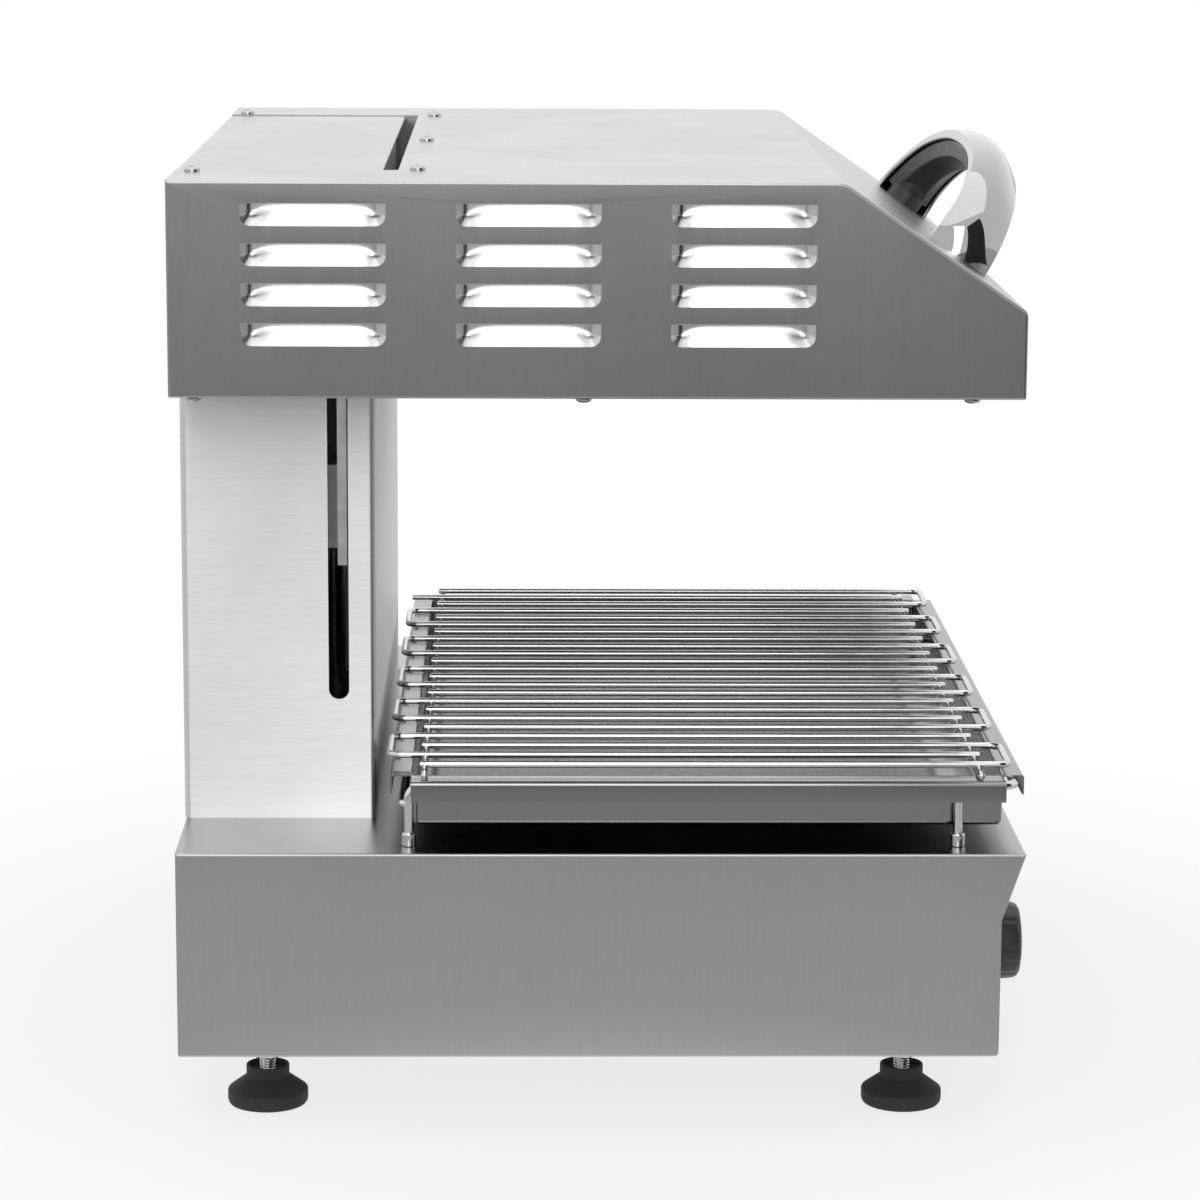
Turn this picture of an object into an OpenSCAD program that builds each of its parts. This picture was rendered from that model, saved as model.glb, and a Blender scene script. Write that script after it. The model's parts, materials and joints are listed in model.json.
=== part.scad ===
// Rise-and-fall salamander grill, also called a cheese melter. Millimetres.
// +Z is up, the front faces -Y, and the origin is on the floor under the middle of the outline.
// Inside framed() a point is [x, d, z]: d is the distance forward of the hood's rear face.

/* [Overall] */
// Width over the side panels
body_w = 600; // [560:1:700]
// Thickness of the outer sheet steel
sheet = 1.2; // [1:0.1:1.6]
// Height of the base's underside above the floor
foot_h = 46; // [42:1:60]
// Clearance between neighbouring sheets
sheet_gap = 0.2; // [0.1:0.05:0.5]

/* [Base] */
// Height of the base box
base_h = 121; // [110:1:150]
// Depth from the rear face to the vertical front
base_front = 474.5; // [450:0.5:500]
// How far the top edge overhangs the vertical front
lip_reach = 13.5; // [5:0.5:25]
// Height of the slanted part below the top edge
lip_drop = 39.5; // [20:0.5:60]
// Width of the flanges folded along the edges of the sheets
flange_w = 14; // [10:1:20]

/* [Column] */
// Width of the column
column_w = 426; // [380:1:440]
// Depth of the column
column_d = 111; // [108:1:125]
// Distance from the hood's rear face to the column's rear face
column_rear = 0; // [0:0.5:6]
// Overhang of the column's cap
cap_overhang = 7; // [3:0.5:8]
// Thickness of the cap
cap_t = 1.5; // [1:0.1:3]
// How far the cap's top lies below the hood's top
cap_drop = 0.5; // [0.5:0.5:6]
// Width of the slots in the column's sides
slot_w = 12; // [9:0.5:16]
// Bottom of the slots above the base's top
slot_z = 72; // [60:1:80]

/* [Hood] */
// Depth of the hood
hood_d = 481; // [460:1:520]
// Height of the hood
hood_h = 121.5; // [110:0.5:140]
// Gap between the base's top and the raised hood's underside
hood_rise = 262.5; // [250:0.5:300]
// Travel of the hood, downwards
hood_travel = 175; // [100:1:185]
// Height of the vertical front edge
front_edge_h = 49.5; // [35:0.5:70]
// Depth of the sloping front
slope_d = 104; // [80:1:125]
// Width of the cut-out in the hood's top around the column
cutout_w = 452; // [446:1:470]
// Gap in front of the column's cap in that cut-out
cutout_gap = 9; // [4:0.5:12]

/* [Louvers] */
// Columns and rows of louvers on each side
louver_cols = 3; // [1:1:3]
louver_rows = 4; // [1:1:4]
// Size of a louver along the hood
louver_w = 81; // [40:1:90]
// Height of a louver
louver_h = 12.5; // [8:0.5:16]
// How far a louver is pressed in
louver_depth = 4; // [2.5:0.5:6]
// Pitch of the louvers along the hood
louver_pitch_d = 120; // [110:1:122]
// Pitch of the rows of louvers
louver_pitch_z = 22.35; // [20:0.05:24]
// Distance of the first louver from the rear face
louver_start = 41; // [20:1:41]
// Distance of the first row's top from the hood's top
louver_top = 12.6; // [10:0.1:16]
// Radius of a louver's lower corners
louver_r = 6; // [3:0.5:8]

/* [Handle] */
// Distance between the handle's posts
handle_span = 344; // [220:2:400]
// Height of the handle above the sloping front
handle_h = 67; // [55:1:80]
// Width of the handle's shell at its feet
handle_w = 40; // [34:1:46]
// Width of the handle's shell at the middle
handle_mid_w = 31; // [24:1:34]
// Distance of the handle's middle behind the hood's front
handle_set = 27.5; // [22:0.5:60]
// Diameter of the posts
post_dia = 25; // [18:0.5:28]

/* [Heating] */
// Diameter of the heating elements
element_dia = 8; // [6:0.5:10]
// Distance between the legs of an element
element_pitch = 38; // [30:1:40]
// Elements in each of the two zones
elements_per_zone = 3; // [1:1:3]
// Height of the elements above the hood's underside
element_z = 24; // [20:1:30]
// Thickness of the reflector's sheet
reflector_t = 1; // [0.8:0.1:1.5]
// Thickness of the insulation
insulation_t = 16; // [8:1:16]

/* [Lift] */
// Diameter of the guide rods
rod_dia = 16; // [12:1:18]
// Distance of each guide rod from the middle
rod_x = 150; // [148:1:165]
// Radial clearance of the slide bushes on the rods
bush_clearance = 0.05; // [0.02:0.01:0.09]
// Thickness of the carriage plate
carriage_t = 5.5; // [4:0.5:6]
// Space between the carriage plate and the column's front wall
carriage_gap = 14.3; // [13:0.1:16]
// Diameter of the wire ropes
rope_dia = 4; // [3:0.5:5]
// Radius of a rope's centre line round its pulley
rope_r = 22; // [20:0.5:23]
// Distance of each rope from the middle
rope_x = 70; // [50:1:90]
// Width, thickness and height of the counterweight
weight_w = 300; // [180:1:340]
weight_t = 38; // [20:1:40]
weight_h = 180; // [120:1:205]

/* [Controls] */
// Height of the knobs' middle above the base's underside
control_rise = 41; // [36:1:50]
// Diameter of the knobs
knob_dia = 47; // [36:1:52]
// How far a knob's face stands in front of the panel
knob_reach = 23.5; // [18:0.5:30]
// Distance of each knob from the base's side
knob_side = 105; // [70:1:180]
// Diameter of the regulators' shafts
shaft_dia = 6; // [5:0.5:8]
// Radial clearance of a shaft in its regulator
shaft_clearance = 0.05; // [0.02:0.01:0.09]
// Diameter of a pilot lamp
lamp_dia = 12; // [8:1:16]
// Distance between a knob and its pilot lamp
lamp_spacing = 55; // [40:1:70]
// Distance of the cable gland from the base's side
gland_side = 100; // [60:1:100]
// Height of the cable gland above the base's underside
gland_rise = 34; // [30:1:60]

/* [Feet] */
// Diameter of a foot's pad
foot_dia = 47.5; // [40:0.5:60]
// Diameter of a foot's neck
foot_neck_dia = 25.5; // [20:0.5:30]
// Height of a foot's moulded pad
foot_pad_h = 24; // [18:1:30]
// Diameter of a foot's stud
stud_dia = 10; // [8:1:12]
// Distance of the feet from the side panels
foot_inset = 60; // [40:1:90]
// Distances of the feet from the rear face
foot_rear_d = 48; // [36:1:80]
foot_front_d = 424; // [380:1:436]
// Travel of a foot, up and down
foot_up = 12; // [5:1:14]
foot_down = 8; // [2:1:8]

/* [Tray] */
// Distance of the tray's side lips from the base's sides
tray_side_gap = 10; // [6:0.5:40]
// Height of the tray's rim above the base
tray_z = 39.5; // [32:0.5:45]
// Width of the tray's rim
tray_rim = 20; // [16:1:24]
// Height of the turned-down lips
tray_lip = 11.5; // [8:0.5:16]
// Depth of the tray's pan below its rim
tray_depth = 29; // [18:0.5:32]
// Distances of the tray's front and rear lips from the rear face
tray_front = 489; // [470:1:495]
tray_rear = 122; // [120:1:140]
// Thickness of the tray's sheet
tray_t = 1; // [0.8:0.1:1.5]
// Clearance between loose pieces that lie on each other
loose_gap = 0.3; // [0.1:0.1:0.5]

/* [Stand and grid] */
// Diameter of the stand's wire
stand_wire = 5.5; // [4:0.5:6]
// Diameter and height of the caps on the stand's legs
leg_cap_dia = 8.5; // [7:0.5:10]
leg_cap_h = 8; // [6:0.5:10]
// Distances of the stand's front and rear legs from the rear face
front_leg_d = 450; // [400:1:460]
rear_leg_d = 133; // [130:1:140]
// Radius of the bends in the stand's wire
stand_bend = 8; // [6:0.5:12]
// Number of rods in the grid, an odd number
grid_rods = 23; // [15:2:23]
// Distance of the outer rods from the tray's side lips
grid_side = 20.5; // [18:0.5:60]
// Diameter of the grid's rods
grid_wire = 4; // [3:0.5:5]

/* [Hidden] */
$fn = 48;

half_w = body_w / 2;
inner_w = half_w - sheet;
base_top = foot_h + base_h;
lip_front = base_front + lip_reach;
hood_bottom = base_top + hood_rise;
hood_top = hood_bottom + hood_h;

// Column and the cut-out round it
column_front = column_rear + column_d;
column_half = column_w / 2;
cap_top = hood_top - cap_drop;
casing_top = cap_top - cap_t;
cutout_half = cutout_w / 2;
cutout_front = column_front + cap_overhang + cutout_gap;

// Carriage and guides
carriage_side_gap = 5;
carriage_top_drop = 20;
carriage_reach = 111.5;
slot_clearance = 1;
slot_margin = 5;
block_wall = 12;
block_side = 14;
block_h = 50;
block_low = 4;
block_high = 10;
bracket_h = 12;
bracket_inset = 4;
beam_t = 5;
beam_drop = 5;
stop_clearance = 0.5;
rod_fit = 0.02;
carriage_front = column_front - sheet - carriage_gap;
carriage_rear = carriage_front - carriage_t;
carriage_half = column_half - carriage_side_gap;
carriage_top = hood_top - carriage_top_drop;
carriage_bottom = hood_bottom - carriage_reach;
slot_d = carriage_front + slot_clearance - slot_w / 2;
slot_bottom = base_top + slot_z;
slot_top = casing_top - slot_margin;
rod_r = rod_dia / 2;
rod_d = carriage_rear - rod_r - block_wall;
block_w = rod_dia + 2 * block_side;
block_d = 2 * (carriage_rear - rod_d);
block_z = [carriage_bottom + block_low, carriage_top - block_high - block_h];
beam_z = casing_top - beam_drop - beam_t;
beam_rear = column_rear + sheet + 4;

// Ropes and pulleys
rope_offset = 20;
rope_radius = rope_dia / 2;
rope_gap = 0.3;
groove_side = 4;
groove_rise = 2;
pulley_headroom = 6;
pulley_cheek = 1.5;
axle_r = 5;
axle_fit = 0.05;
lug_drop = 126;
lug_half = 9;
lug_h = 14;
eye_r = 7;
eye_h = 12;
eye_floor = 2;
weight_clearance = 12;
rope_front_d = carriage_rear - rope_offset;
rope_rear_d = rope_front_d - 2 * rope_r;
pulley_d = rope_rear_d + rope_r;
pulley_z = beam_z - rope_r - rope_radius - pulley_headroom;
pulley_w = rope_dia + 2 * groove_side;
pulley_outer = rope_r + rope_radius + groove_rise;
lug_z = carriage_top - lug_drop;
weight_bottom = foot_h + weight_clearance;
weight_top = weight_bottom + weight_h;

// Controls
control_z = foot_h + control_rise;
knob_x = half_w - knob_side;
panel_t = sheet;
panel_flange = flange_w + 6;
panel_rear = base_front - panel_t - sheet_gap;
regulator_size = 50;
regulator_d = 42;
tag_x = 14;
tag_size = [6, 8, 1];
knob_front = base_front + knob_reach;
knob_gap = 1;
bezel_t = 2;
bezel_w = 1.2;
lens_sink = 0.6;
lamp_l = 24;

// Cable gland, terminals and wires
gland_x = half_w - gland_side;
gland_z = foot_h + gland_rise;
gland_hole_r = 10;
gland_bore_r = 6.5;
gland_reach = 18;
gland_head = 6;
gland_inside = 12;
nut_t = 5;
terminals = 5;
terminal_pitch = 11;
terminal_d = column_front - 15;
terminal_t = 24;
terminal_h = 22;
terminal_hole_r = 3;

// Handle on the sloping front
slope_angle = atan2(hood_h - front_edge_h, slope_d);
handle_at = [hood_d - handle_set,
    hood_bottom + front_edge_h + (hood_h - front_edge_h) * handle_set / slope_d];
crown = 7;
handle_front = handle_at[0] + handle_mid_w / 2 * cos(slope_angle)
    + (handle_h - crown) * sin(slope_angle);

// Extent in depth, which places the origin
rear_y = (max(knob_front, handle_front) - gland_reach) / 2;

// Stand, tray and grid
tray_w = body_w - 2 * tray_side_gap;
end_rim = tray_rim - 7.5;
stand_gap = 2;
weld_shrink = 0.15;
grid_bend = 6;
grid_overhang = 3;
cross_front_inset = 13.5;
cross_rear_inset = 7.5;
cross_end = 6;
grid_front_inset = 9;
grid_rear_reach = 1;
rod_sink = 0.2;
rim_top = base_top + tray_z;
pan_half = tray_w / 2 - tray_rim;
pan_front = tray_front - end_rim;
pan_rear = tray_rear + end_rim;
stand_z = rim_top - tray_t - loose_gap - stand_wire / 2;
stand_x = pan_half + tray_rim / 2;
stand_front = (pan_front + tray_front) / 2;
stand_rear = pan_rear - stand_wire / 2 - stand_gap;
stand_rear_z = stand_z - stand_bend - stand_wire / 2;
cross_z = rim_top + loose_gap + grid_wire / 2;
rod_z = cross_z + grid_wire - rod_sink;
cross_front_d = pan_front - cross_front_inset;
cross_rear_d = pan_rear + cross_rear_inset;
grid_front_d = tray_front - grid_front_inset;
grid_rear_d = tray_rear - grid_rear_reach;
grid_pitch = (tray_w - 2 * grid_side) / (grid_rods - 1);

foot_x = half_w - foot_inset;
FEET = [[-1, foot_front_d], [1, foot_front_d], [-1, foot_rear_d], [1, foot_rear_d]];

module framed() {
    translate([0, rear_y, 0]) mirror([0, 1, 0]) children();
}

// Extrusions of an outline along each axis, from a to b
module along_x(a, b) {
    translate([a, 0, 0]) rotate([90, 0, 90]) linear_extrude(b - a) children();
}

module along_y(a, b) {
    translate([0, b, 0]) rotate([90, 0, 0]) linear_extrude(b - a) children();
}

module along_z(a, b) {
    translate([0, 0, a]) linear_extrude(b - a) children();
}

// A box from its two corners
module block(low, high) {
    translate(low) cube(high - low);
}

module both_sides() {
    children();
    mirror([1, 0, 0]) children();
}

// The outline of a folded sheet: a path, and the same path offset to its left
function unit(v) = v / norm(v);
function left_of(v) = [-v[1], v[0]];
function path_side(p, i) = left_of(unit(p[i + 1] - p[i]));
function mitre(p, i, t) =
    i == 0 ? p[0] + t * path_side(p, 0)
    : i == len(p) - 1 ? p[i] + t * path_side(p, i - 1)
    : let (a = path_side(p, i - 1), b = path_side(p, i)) p[i] + t * (a + b) / (1 + a * b);
function folded(p, t) = concat(p, [for (i = [len(p) - 1:-1:0]) mitre(p, i, t)]);

// A dome-headed screw whose head lies on z = 0 and whose shank points down
module screw(head_r, shank_r, shank_l) {
    intersection() {
        translate([0, 0, -head_r * 0.55]) sphere(r = head_r * 1.141, $fn = 32);
        cylinder(r = head_r, h = head_r);
    }
    translate([0, 0, -shank_l]) cylinder(r = shank_r, h = shank_l);
}

// ---- Base ----

function base_profile() = [[0, foot_h], [base_front, foot_h],
    [base_front, base_top - lip_drop], [lip_front, base_top], [0, base_top]];

opening_half = carriage_half + 2;
opening_rear = column_rear + sheet + 4;
opening_front = carriage_front + 2;
flange_front = base_front - panel_flange - sheet_gap;

module base_wrap() color("silver") framed() {
    both_sides() along_x(half_w - sheet, half_w) polygon(base_profile());
    difference() {
        block([-inner_w, 0, base_top - sheet], [inner_w, lip_front - sheet, base_top]);
        block([-opening_half, opening_rear, base_top - 2 * sheet],
            [opening_half, opening_front, base_top + sheet]);
        for (p = casing_screw_places()) translate([p[0], p[1], base_top - 2 * sheet])
            cylinder(r = frame_hole_r, h = 3 * sheet);
    }
    both_sides() block([inner_w - flange_w, sheet + sheet_gap, foot_h],
        [inner_w, flange_front, foot_h + sheet]);
}

module control_panel() color("silver") framed() difference() {
    along_x(-inner_w + sheet_gap, inner_w - sheet_gap) polygon(folded([
        [lip_front - sheet, base_top - sheet - sheet_gap], [base_front, base_top - lip_drop],
        [base_front, foot_h], [base_front - panel_flange, foot_h]], -panel_t));
    block([-body_w, base_front - flange_w, base_top - sheet - sheet_gap],
        [body_w, lip_front + flange_w, base_top + sheet]);
    for (side = [-1, 1]) {
        translate([side * knob_x, base_front + 1, control_z]) rotate([90, 0, 0])
            cylinder(r = shaft_dia / 2 + 2, h = panel_t + 2);
        translate([side * (knob_x - lamp_spacing), base_front + 1, control_z])
            rotate([90, 0, 0]) cylinder(r = lamp_dia / 2 - 1, h = panel_t + 2);
    }
}

module base_rear_panel() color("silver") framed() difference() {
    block([-inner_w + sheet_gap, 0, foot_h + sheet + sheet_gap],
        [inner_w - sheet_gap, sheet, base_top - sheet - sheet_gap]);
    translate([gland_x, sheet + 1, gland_z]) rotate([90, 0, 0])
        cylinder(r = gland_hole_r, h = sheet + 2);
    for (row = [0:vent_rows - 1], col = [0:vent_cols - 1])
        translate([vent_x + col * vent_pitch_x, -1, foot_h + vent_rise + row * vent_pitch_z])
            cube([vent_w, sheet + 2, vent_h]);
}

// Slots for air in the base's rear panel, and across the bottom plate
vent_rows = 5;
vent_cols = 4;
vent_w = 50;
vent_h = 4;
vent_pitch_x = 70;
vent_pitch_z = 12;
vent_x = -200;
vent_rise = 45;
floor_vents = 9;
floor_vent_pitch = 40;
floor_vent_size = [8, 90];
floor_vent_d = base_front / 2 + 13;

plate_top = foot_h + 2 * sheet + sheet_gap;
socket_wall = 3.5;
socket_r = stud_dia / 2 + socket_wall;
socket_h = 22;
socket_gap = 0.05;
socket_flange = 3;
thread_clearance = 0.08;

module base_bottom_plate() color("gainsboro") framed() difference() {
    block([-inner_w + sheet_gap, sheet + sheet_gap, foot_h + sheet + sheet_gap],
        [inner_w - sheet_gap, base_front - 2 * sheet - sheet_gap, plate_top]);
    for (p = FEET) translate([p[0] * foot_x, p[1], foot_h]) cylinder(r = socket_r, h = socket_h);
    for (i = [0:floor_vents - 1])
        translate([(i - (floor_vents - 1) / 2) * floor_vent_pitch - floor_vent_size[0] / 2,
                floor_vent_d - floor_vent_size[1] / 2, foot_h])
            cube([floor_vent_size[0], floor_vent_size[1], socket_h]);
}

module foot_sockets() color("darkgray") framed()
    for (p = FEET) translate([p[0] * foot_x, p[1], foot_h + sheet + sheet_gap]) difference() {
        union() {
            cylinder(r = socket_r - socket_gap, h = socket_h);
            translate([0, 0, sheet]) cylinder(r = socket_r + socket_flange, h = socket_flange);
        }
        translate([0, 0, -1]) cylinder(r = stud_dia / 2 + thread_clearance, h = socket_h + 2);
    }

// ---- Column ----

casing_flange = 11;
casing_screw_inset = 30;
function casing_screw_places() = [for (s = [-1, -0.35, 0.35, 1])
    [s * (column_half - casing_screw_inset), column_front - sheet - casing_flange / 2]];

module column_slot() {
    both_sides() along_x(column_half - 2 * sheet, column_half + sheet) {
        translate([slot_d, slot_bottom + slot_w / 2]) circle(r = slot_w / 2);
        translate([slot_d - slot_w / 2, slot_bottom + slot_w / 2])
            square([slot_w, slot_top - slot_bottom - slot_w / 2]);
    }
}

module column_casing() color("lightgray") framed() {
    difference() {
        block([-column_half, column_rear, base_top], [column_half, column_front, casing_top]);
        block([-column_half + sheet, column_rear + sheet, base_top - 1],
            [column_half - sheet, column_front - sheet, casing_top + 1]);
        column_slot();
    }
    difference() {
        block([-column_half + sheet, column_front - sheet - casing_flange, base_top],
            [column_half - sheet, column_front - sheet, base_top + sheet]);
        for (p = casing_screw_places()) translate([p[0], p[1], base_top - 1])
            cylinder(r = frame_hole_r, h = 3 * sheet);
    }
}

module column_cap() color("gainsboro") framed()
    block([-column_half - cap_overhang, 0, casing_top],
        [column_half + cap_overhang, column_front + cap_overhang, cap_top]);

// The beam that carries the pulleys and the rods' upper ends, with end flanges
beam_flange = 40;

module column_crossbeam() color("darkgray") framed() {
    edge = column_half - sheet - sheet_gap;
    difference() {
        block([-edge, beam_rear, beam_z], [edge, carriage_front, beam_z + beam_t]);
        both_sides() translate([rod_x, rod_d, beam_z - 1])
            cylinder(r = rod_r + rod_fit, h = beam_t + 2);
    }
    both_sides() block([edge - beam_t, beam_rear, beam_z - beam_flange],
        [edge, slot_d - slot_w, beam_z]);
}

module guide_rods() color("lightsteelblue") framed() both_sides()
    translate([rod_x, rod_d, plate_top]) cylinder(r = rod_r, h = beam_z + beam_t - plate_top);

module rod_bracket(z) difference() {
    block([rod_x - block_w / 2, rod_d - block_w / 2 + bracket_inset, z],
        [rod_x + block_w / 2, rod_d + block_w / 2 - bracket_inset, z + bracket_h]);
    translate([rod_x, rod_d, z - 1]) cylinder(r = rod_r + rod_fit, h = bracket_h + 2);
}

module rod_brackets() color("dimgray") framed() both_sides() {
    rod_bracket(plate_top);
    rod_bracket(beam_z - bracket_h);
}

sleeve_wall = 6;
sleeve_gap = 0.2;

module stop_sleeve(z0, z1) translate([rod_x, rod_d, z0]) difference() {
    cylinder(r = rod_r + sleeve_wall, h = z1 - z0);
    translate([0, 0, -1]) cylinder(r = rod_r + sleeve_gap, h = z1 - z0 + 2);
}

module stop_sleeves() color("black") framed() both_sides() {
    stop_sleeve(plate_top + bracket_h, block_z[0] - hood_travel - stop_clearance);
    stop_sleeve(block_z[1] + block_h + stop_clearance, beam_z - bracket_h);
}

cheek_t = 4;
cheek_gap = 1;
cheek_half = 14;
cheek_x = pulley_w / 2 + cheek_gap + cheek_t / 2;
axle_l = 2 * (cheek_x + cheek_t / 2 + 2);

module pulley_brackets() color("darkgray") framed() both_sides() difference() {
    union() for (s = [-1, 1]) block(
        [rope_x + s * cheek_x - cheek_t / 2, pulley_d - cheek_half, pulley_z - cheek_half],
        [rope_x + s * cheek_x + cheek_t / 2, pulley_d + cheek_half, beam_z]);
    translate([rope_x - pulley_w, pulley_d, pulley_z]) rotate([0, 90, 0])
        cylinder(r = axle_r + rod_fit, h = 2 * pulley_w);
}

module pulley_axles() color("lightsteelblue") framed() both_sides()
    translate([rope_x - axle_l / 2, pulley_d, pulley_z]) rotate([0, 90, 0])
        cylinder(r = axle_r, h = axle_l);

groove_r = rope_r - rope_radius - rope_gap;
groove_half = rope_radius + rope_gap;

module pulley(side) color("goldenrod") framed()
    translate([side * rope_x - pulley_w / 2, pulley_d, pulley_z]) rotate([0, 90, 0])
        rotate_extrude() polygon([[axle_r + axle_fit, 0], [pulley_outer, 0],
            [pulley_outer, pulley_cheek], [groove_r, pulley_w / 2 - groove_half],
            [groove_r, pulley_w / 2 + groove_half], [pulley_outer, pulley_w - pulley_cheek],
            [pulley_outer, pulley_w], [axle_r + axle_fit, pulley_w]]);

module pulley_left() pulley(-1);
module pulley_right() pulley(1);

// The half turn of rope that lies in each pulley's groove
module rope_wraps() color("gray") framed() both_sides()
    translate([rope_x, pulley_d, pulley_z]) rotate([90, 0, 90])
        rotate_extrude(angle = 180) translate([rope_r, 0]) circle(r = rope_radius, $fn = 24);

// ---- Base fittings ----

module energy_regulators() color("beige") framed() both_sides() difference() {
    union() {
        block([knob_x - regulator_size / 2, panel_rear - regulator_d, control_z - regulator_size / 2],
            [knob_x + regulator_size / 2, panel_rear, control_z + regulator_size / 2]);
        for (s = [-1, 1]) translate([knob_x + s * tag_x - tag_size[0] / 2,
                panel_rear - regulator_d - tag_size[1], control_z - tag_size[2] / 2])
            cube(tag_size);
    }
    translate([knob_x, base_front, control_z]) rotate([90, 0, 0])
        cylinder(r = shaft_dia / 2 + shaft_clearance, h = shaft_l + 4);
}

module pilot_lamps() color("orange") framed() both_sides()
    translate([knob_x - lamp_spacing, base_front, control_z]) rotate([-90, 0, 0]) {
        difference() {
            cylinder(r = lamp_dia / 2, h = bezel_t);
            translate([0, 0, bezel_t - lens_sink]) cylinder(r = lamp_dia / 2 - bezel_w, h = bezel_t);
        }
        intersection() {
            translate([0, 0, bezel_t - lamp_dia / 2 + 1]) sphere(r = lamp_dia / 2 + 1, $fn = 32);
            translate([0, 0, bezel_t - lens_sink]) cylinder(r = lamp_dia / 2 - bezel_w, h = 3 * bezel_t);
        }
        translate([0, 0, -lamp_l]) cylinder(r = lamp_dia / 2 - bezel_w, h = lamp_l);
    }

module gland_bore() translate([gland_x, gland_inside + gland_reach, gland_z]) rotate([90, 0, 0])
    cylinder(r = gland_bore_r, h = 2 * (gland_inside + gland_reach));

module cable_gland() color("black") framed() difference() {
    translate([gland_x, 0, gland_z]) rotate([90, 0, 0]) {
        cylinder(r = gland_hole_r + 3, h = gland_head, $fn = 6);
        translate([0, 0, gland_head]) cylinder(r1 = gland_hole_r + 1, r2 = gland_bore_r + 2.5,
            h = gland_reach - gland_head);
        translate([0, 0, -gland_inside]) cylinder(r = gland_hole_r - 0.1, h = gland_inside);
    }
    gland_bore();
}

module gland_nut() color("dimgray") framed() translate([gland_x, sheet + nut_t, gland_z])
    rotate([90, 0, 0]) difference() {
        cylinder(r = gland_hole_r + 4, h = nut_t, $fn = 6);
        translate([0, 0, -1]) cylinder(r = gland_hole_r, h = nut_t + 2);
    }

module terminal_block() color("ivory") framed() difference() {
    half = (terminals + 0.5) * terminal_pitch / 2;
    block([gland_x - half, terminal_d, plate_top],
        [gland_x + half, terminal_d + terminal_t, plate_top + terminal_h]);
    for (i = [0:terminals - 1])
        translate([gland_x + (i - (terminals - 1) / 2) * terminal_pitch,
                terminal_d + terminal_t / 2, plate_top + terminal_h / 2])
            cylinder(r = terminal_hole_r, h = terminal_h);
}

// Wires bundled along the base's floor, from the terminals to the regulators
loom_r = 4;
loom_lift = 2;
loom_drop = 12;
loom_z = plate_top + loom_r + loom_lift;
loom_start_d = terminal_d + terminal_t;
loom_turn_d = panel_rear - regulator_d - 26;
loom_end_d = panel_rear - regulator_d - loom_r;
loom_end_z = control_z - loom_drop;

module loom_run(a, b) {
    v = b - a;
    translate(a) rotate([0, acos(v[2] / norm(v)), atan2(v[1], v[0])])
        cylinder(r = loom_r, h = norm(v), $fn = 24);
    translate(b) sphere(r = loom_r, $fn = 24);
}

module wiring_loom() color("firebrick") framed() {
    loom_run([gland_x, loom_start_d, loom_z], [gland_x, loom_turn_d, loom_z]);
    loom_run([max(gland_x, knob_x), loom_turn_d, loom_z], [-knob_x, loom_turn_d, loom_z]);
    for (s = [-1, 1]) {
        loom_run([s * knob_x, loom_turn_d, loom_z], [s * knob_x, loom_turn_d, loom_end_z]);
        loom_run([s * knob_x, loom_turn_d, loom_end_z], [s * knob_x, loom_end_d, loom_end_z]);
    }
}

frame_shank_r = 2;
frame_hole_r = frame_shank_r + 0.1;
frame_head_r = 4;
frame_shank_l = 6;

module frame_screws() color("silver") framed() {
    for (p = casing_screw_places()) translate([p[0], p[1], base_top + sheet])
        screw(frame_head_r, frame_shank_r, frame_shank_l);
}

// ---- Hood ----

function hood_profile() = [[0, hood_bottom], [hood_d, hood_bottom],
    [hood_d, hood_bottom + front_edge_h], [hood_d - slope_d, hood_top], [0, hood_top]];

hood_screw_r = 1.6;
hood_hole_r = hood_screw_r + 0.1;
top_head_r = 4;
bottom_head_r = 3;
bolt_r = 3;
bolt_head_r = 5;
bolt_l = 6;
bolt_hole_r = bolt_r + 0.1;
hood_flange = flange_w + 6;
top_screw_side = 10;
top_screw_rear = 10;
top_screw_inset = 4;
top_screw_front = 11;
bottom_screw_side = 8;
bottom_screw_rear = 14;
bottom_screw_front = 30;
hood_screw_l = 2 * sheet + sheet_gap + 2;

function top_screw_places() = concat(
    [for (s = [-1, 1]) [s * (cutout_half + top_screw_side), top_screw_rear]],
    [for (s = [-1, 0, 1]) [s * (cutout_half - top_screw_inset), cutout_front + top_screw_front]]);
function bottom_screw_places() = [for (s = [-1, 1], d = [bottom_screw_rear,
        (bottom_screw_rear + hood_d - bottom_screw_front) / 2, hood_d - bottom_screw_front])
    [s * (half_w - bottom_screw_side), d]];

module post_place(side) {
    translate([side * handle_span / 2, handle_at[0], handle_at[1]])
        rotate([-slope_angle, 0, 0]) children();
}

module hood_shell() color("silver") framed() difference() {
    along_x(-inner_w + sheet_gap, inner_w - sheet_gap) polygon(folded([
        [0, hood_top], [hood_d - slope_d, hood_top], [hood_d, hood_bottom + front_edge_h],
        [hood_d, hood_bottom], [hood_d - hood_flange, hood_bottom]], -sheet));
    block([-cutout_half, -1, hood_top - 2 * sheet], [cutout_half, cutout_front, hood_top + sheet]);
    for (p = top_screw_places()) translate([p[0], p[1], hood_top - 2 * sheet])
        cylinder(r = hood_hole_r, h = 3 * sheet);
    for (side = [-1, 1]) post_place(side) translate([0, 0, -post_stud_l])
        cylinder(r = post_stud_r + 0.1, h = 2 * post_stud_l);
}

module louver_outline(grow) {
    w = louver_w / 2 - grow;
    r = louver_r - grow;
    for (s = [-1, 1]) translate([s * (w - r), -louver_h + grow + r]) circle(r = r);
    translate([-w + r, -louver_h + grow]) square([2 * (w - r), louver_h]);
    translate([-w, -louver_h + grow + r]) square([2 * w, louver_h - r]);
}

louver_skin = sheet * 0.8;
louver_floor = 0.4;

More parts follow.
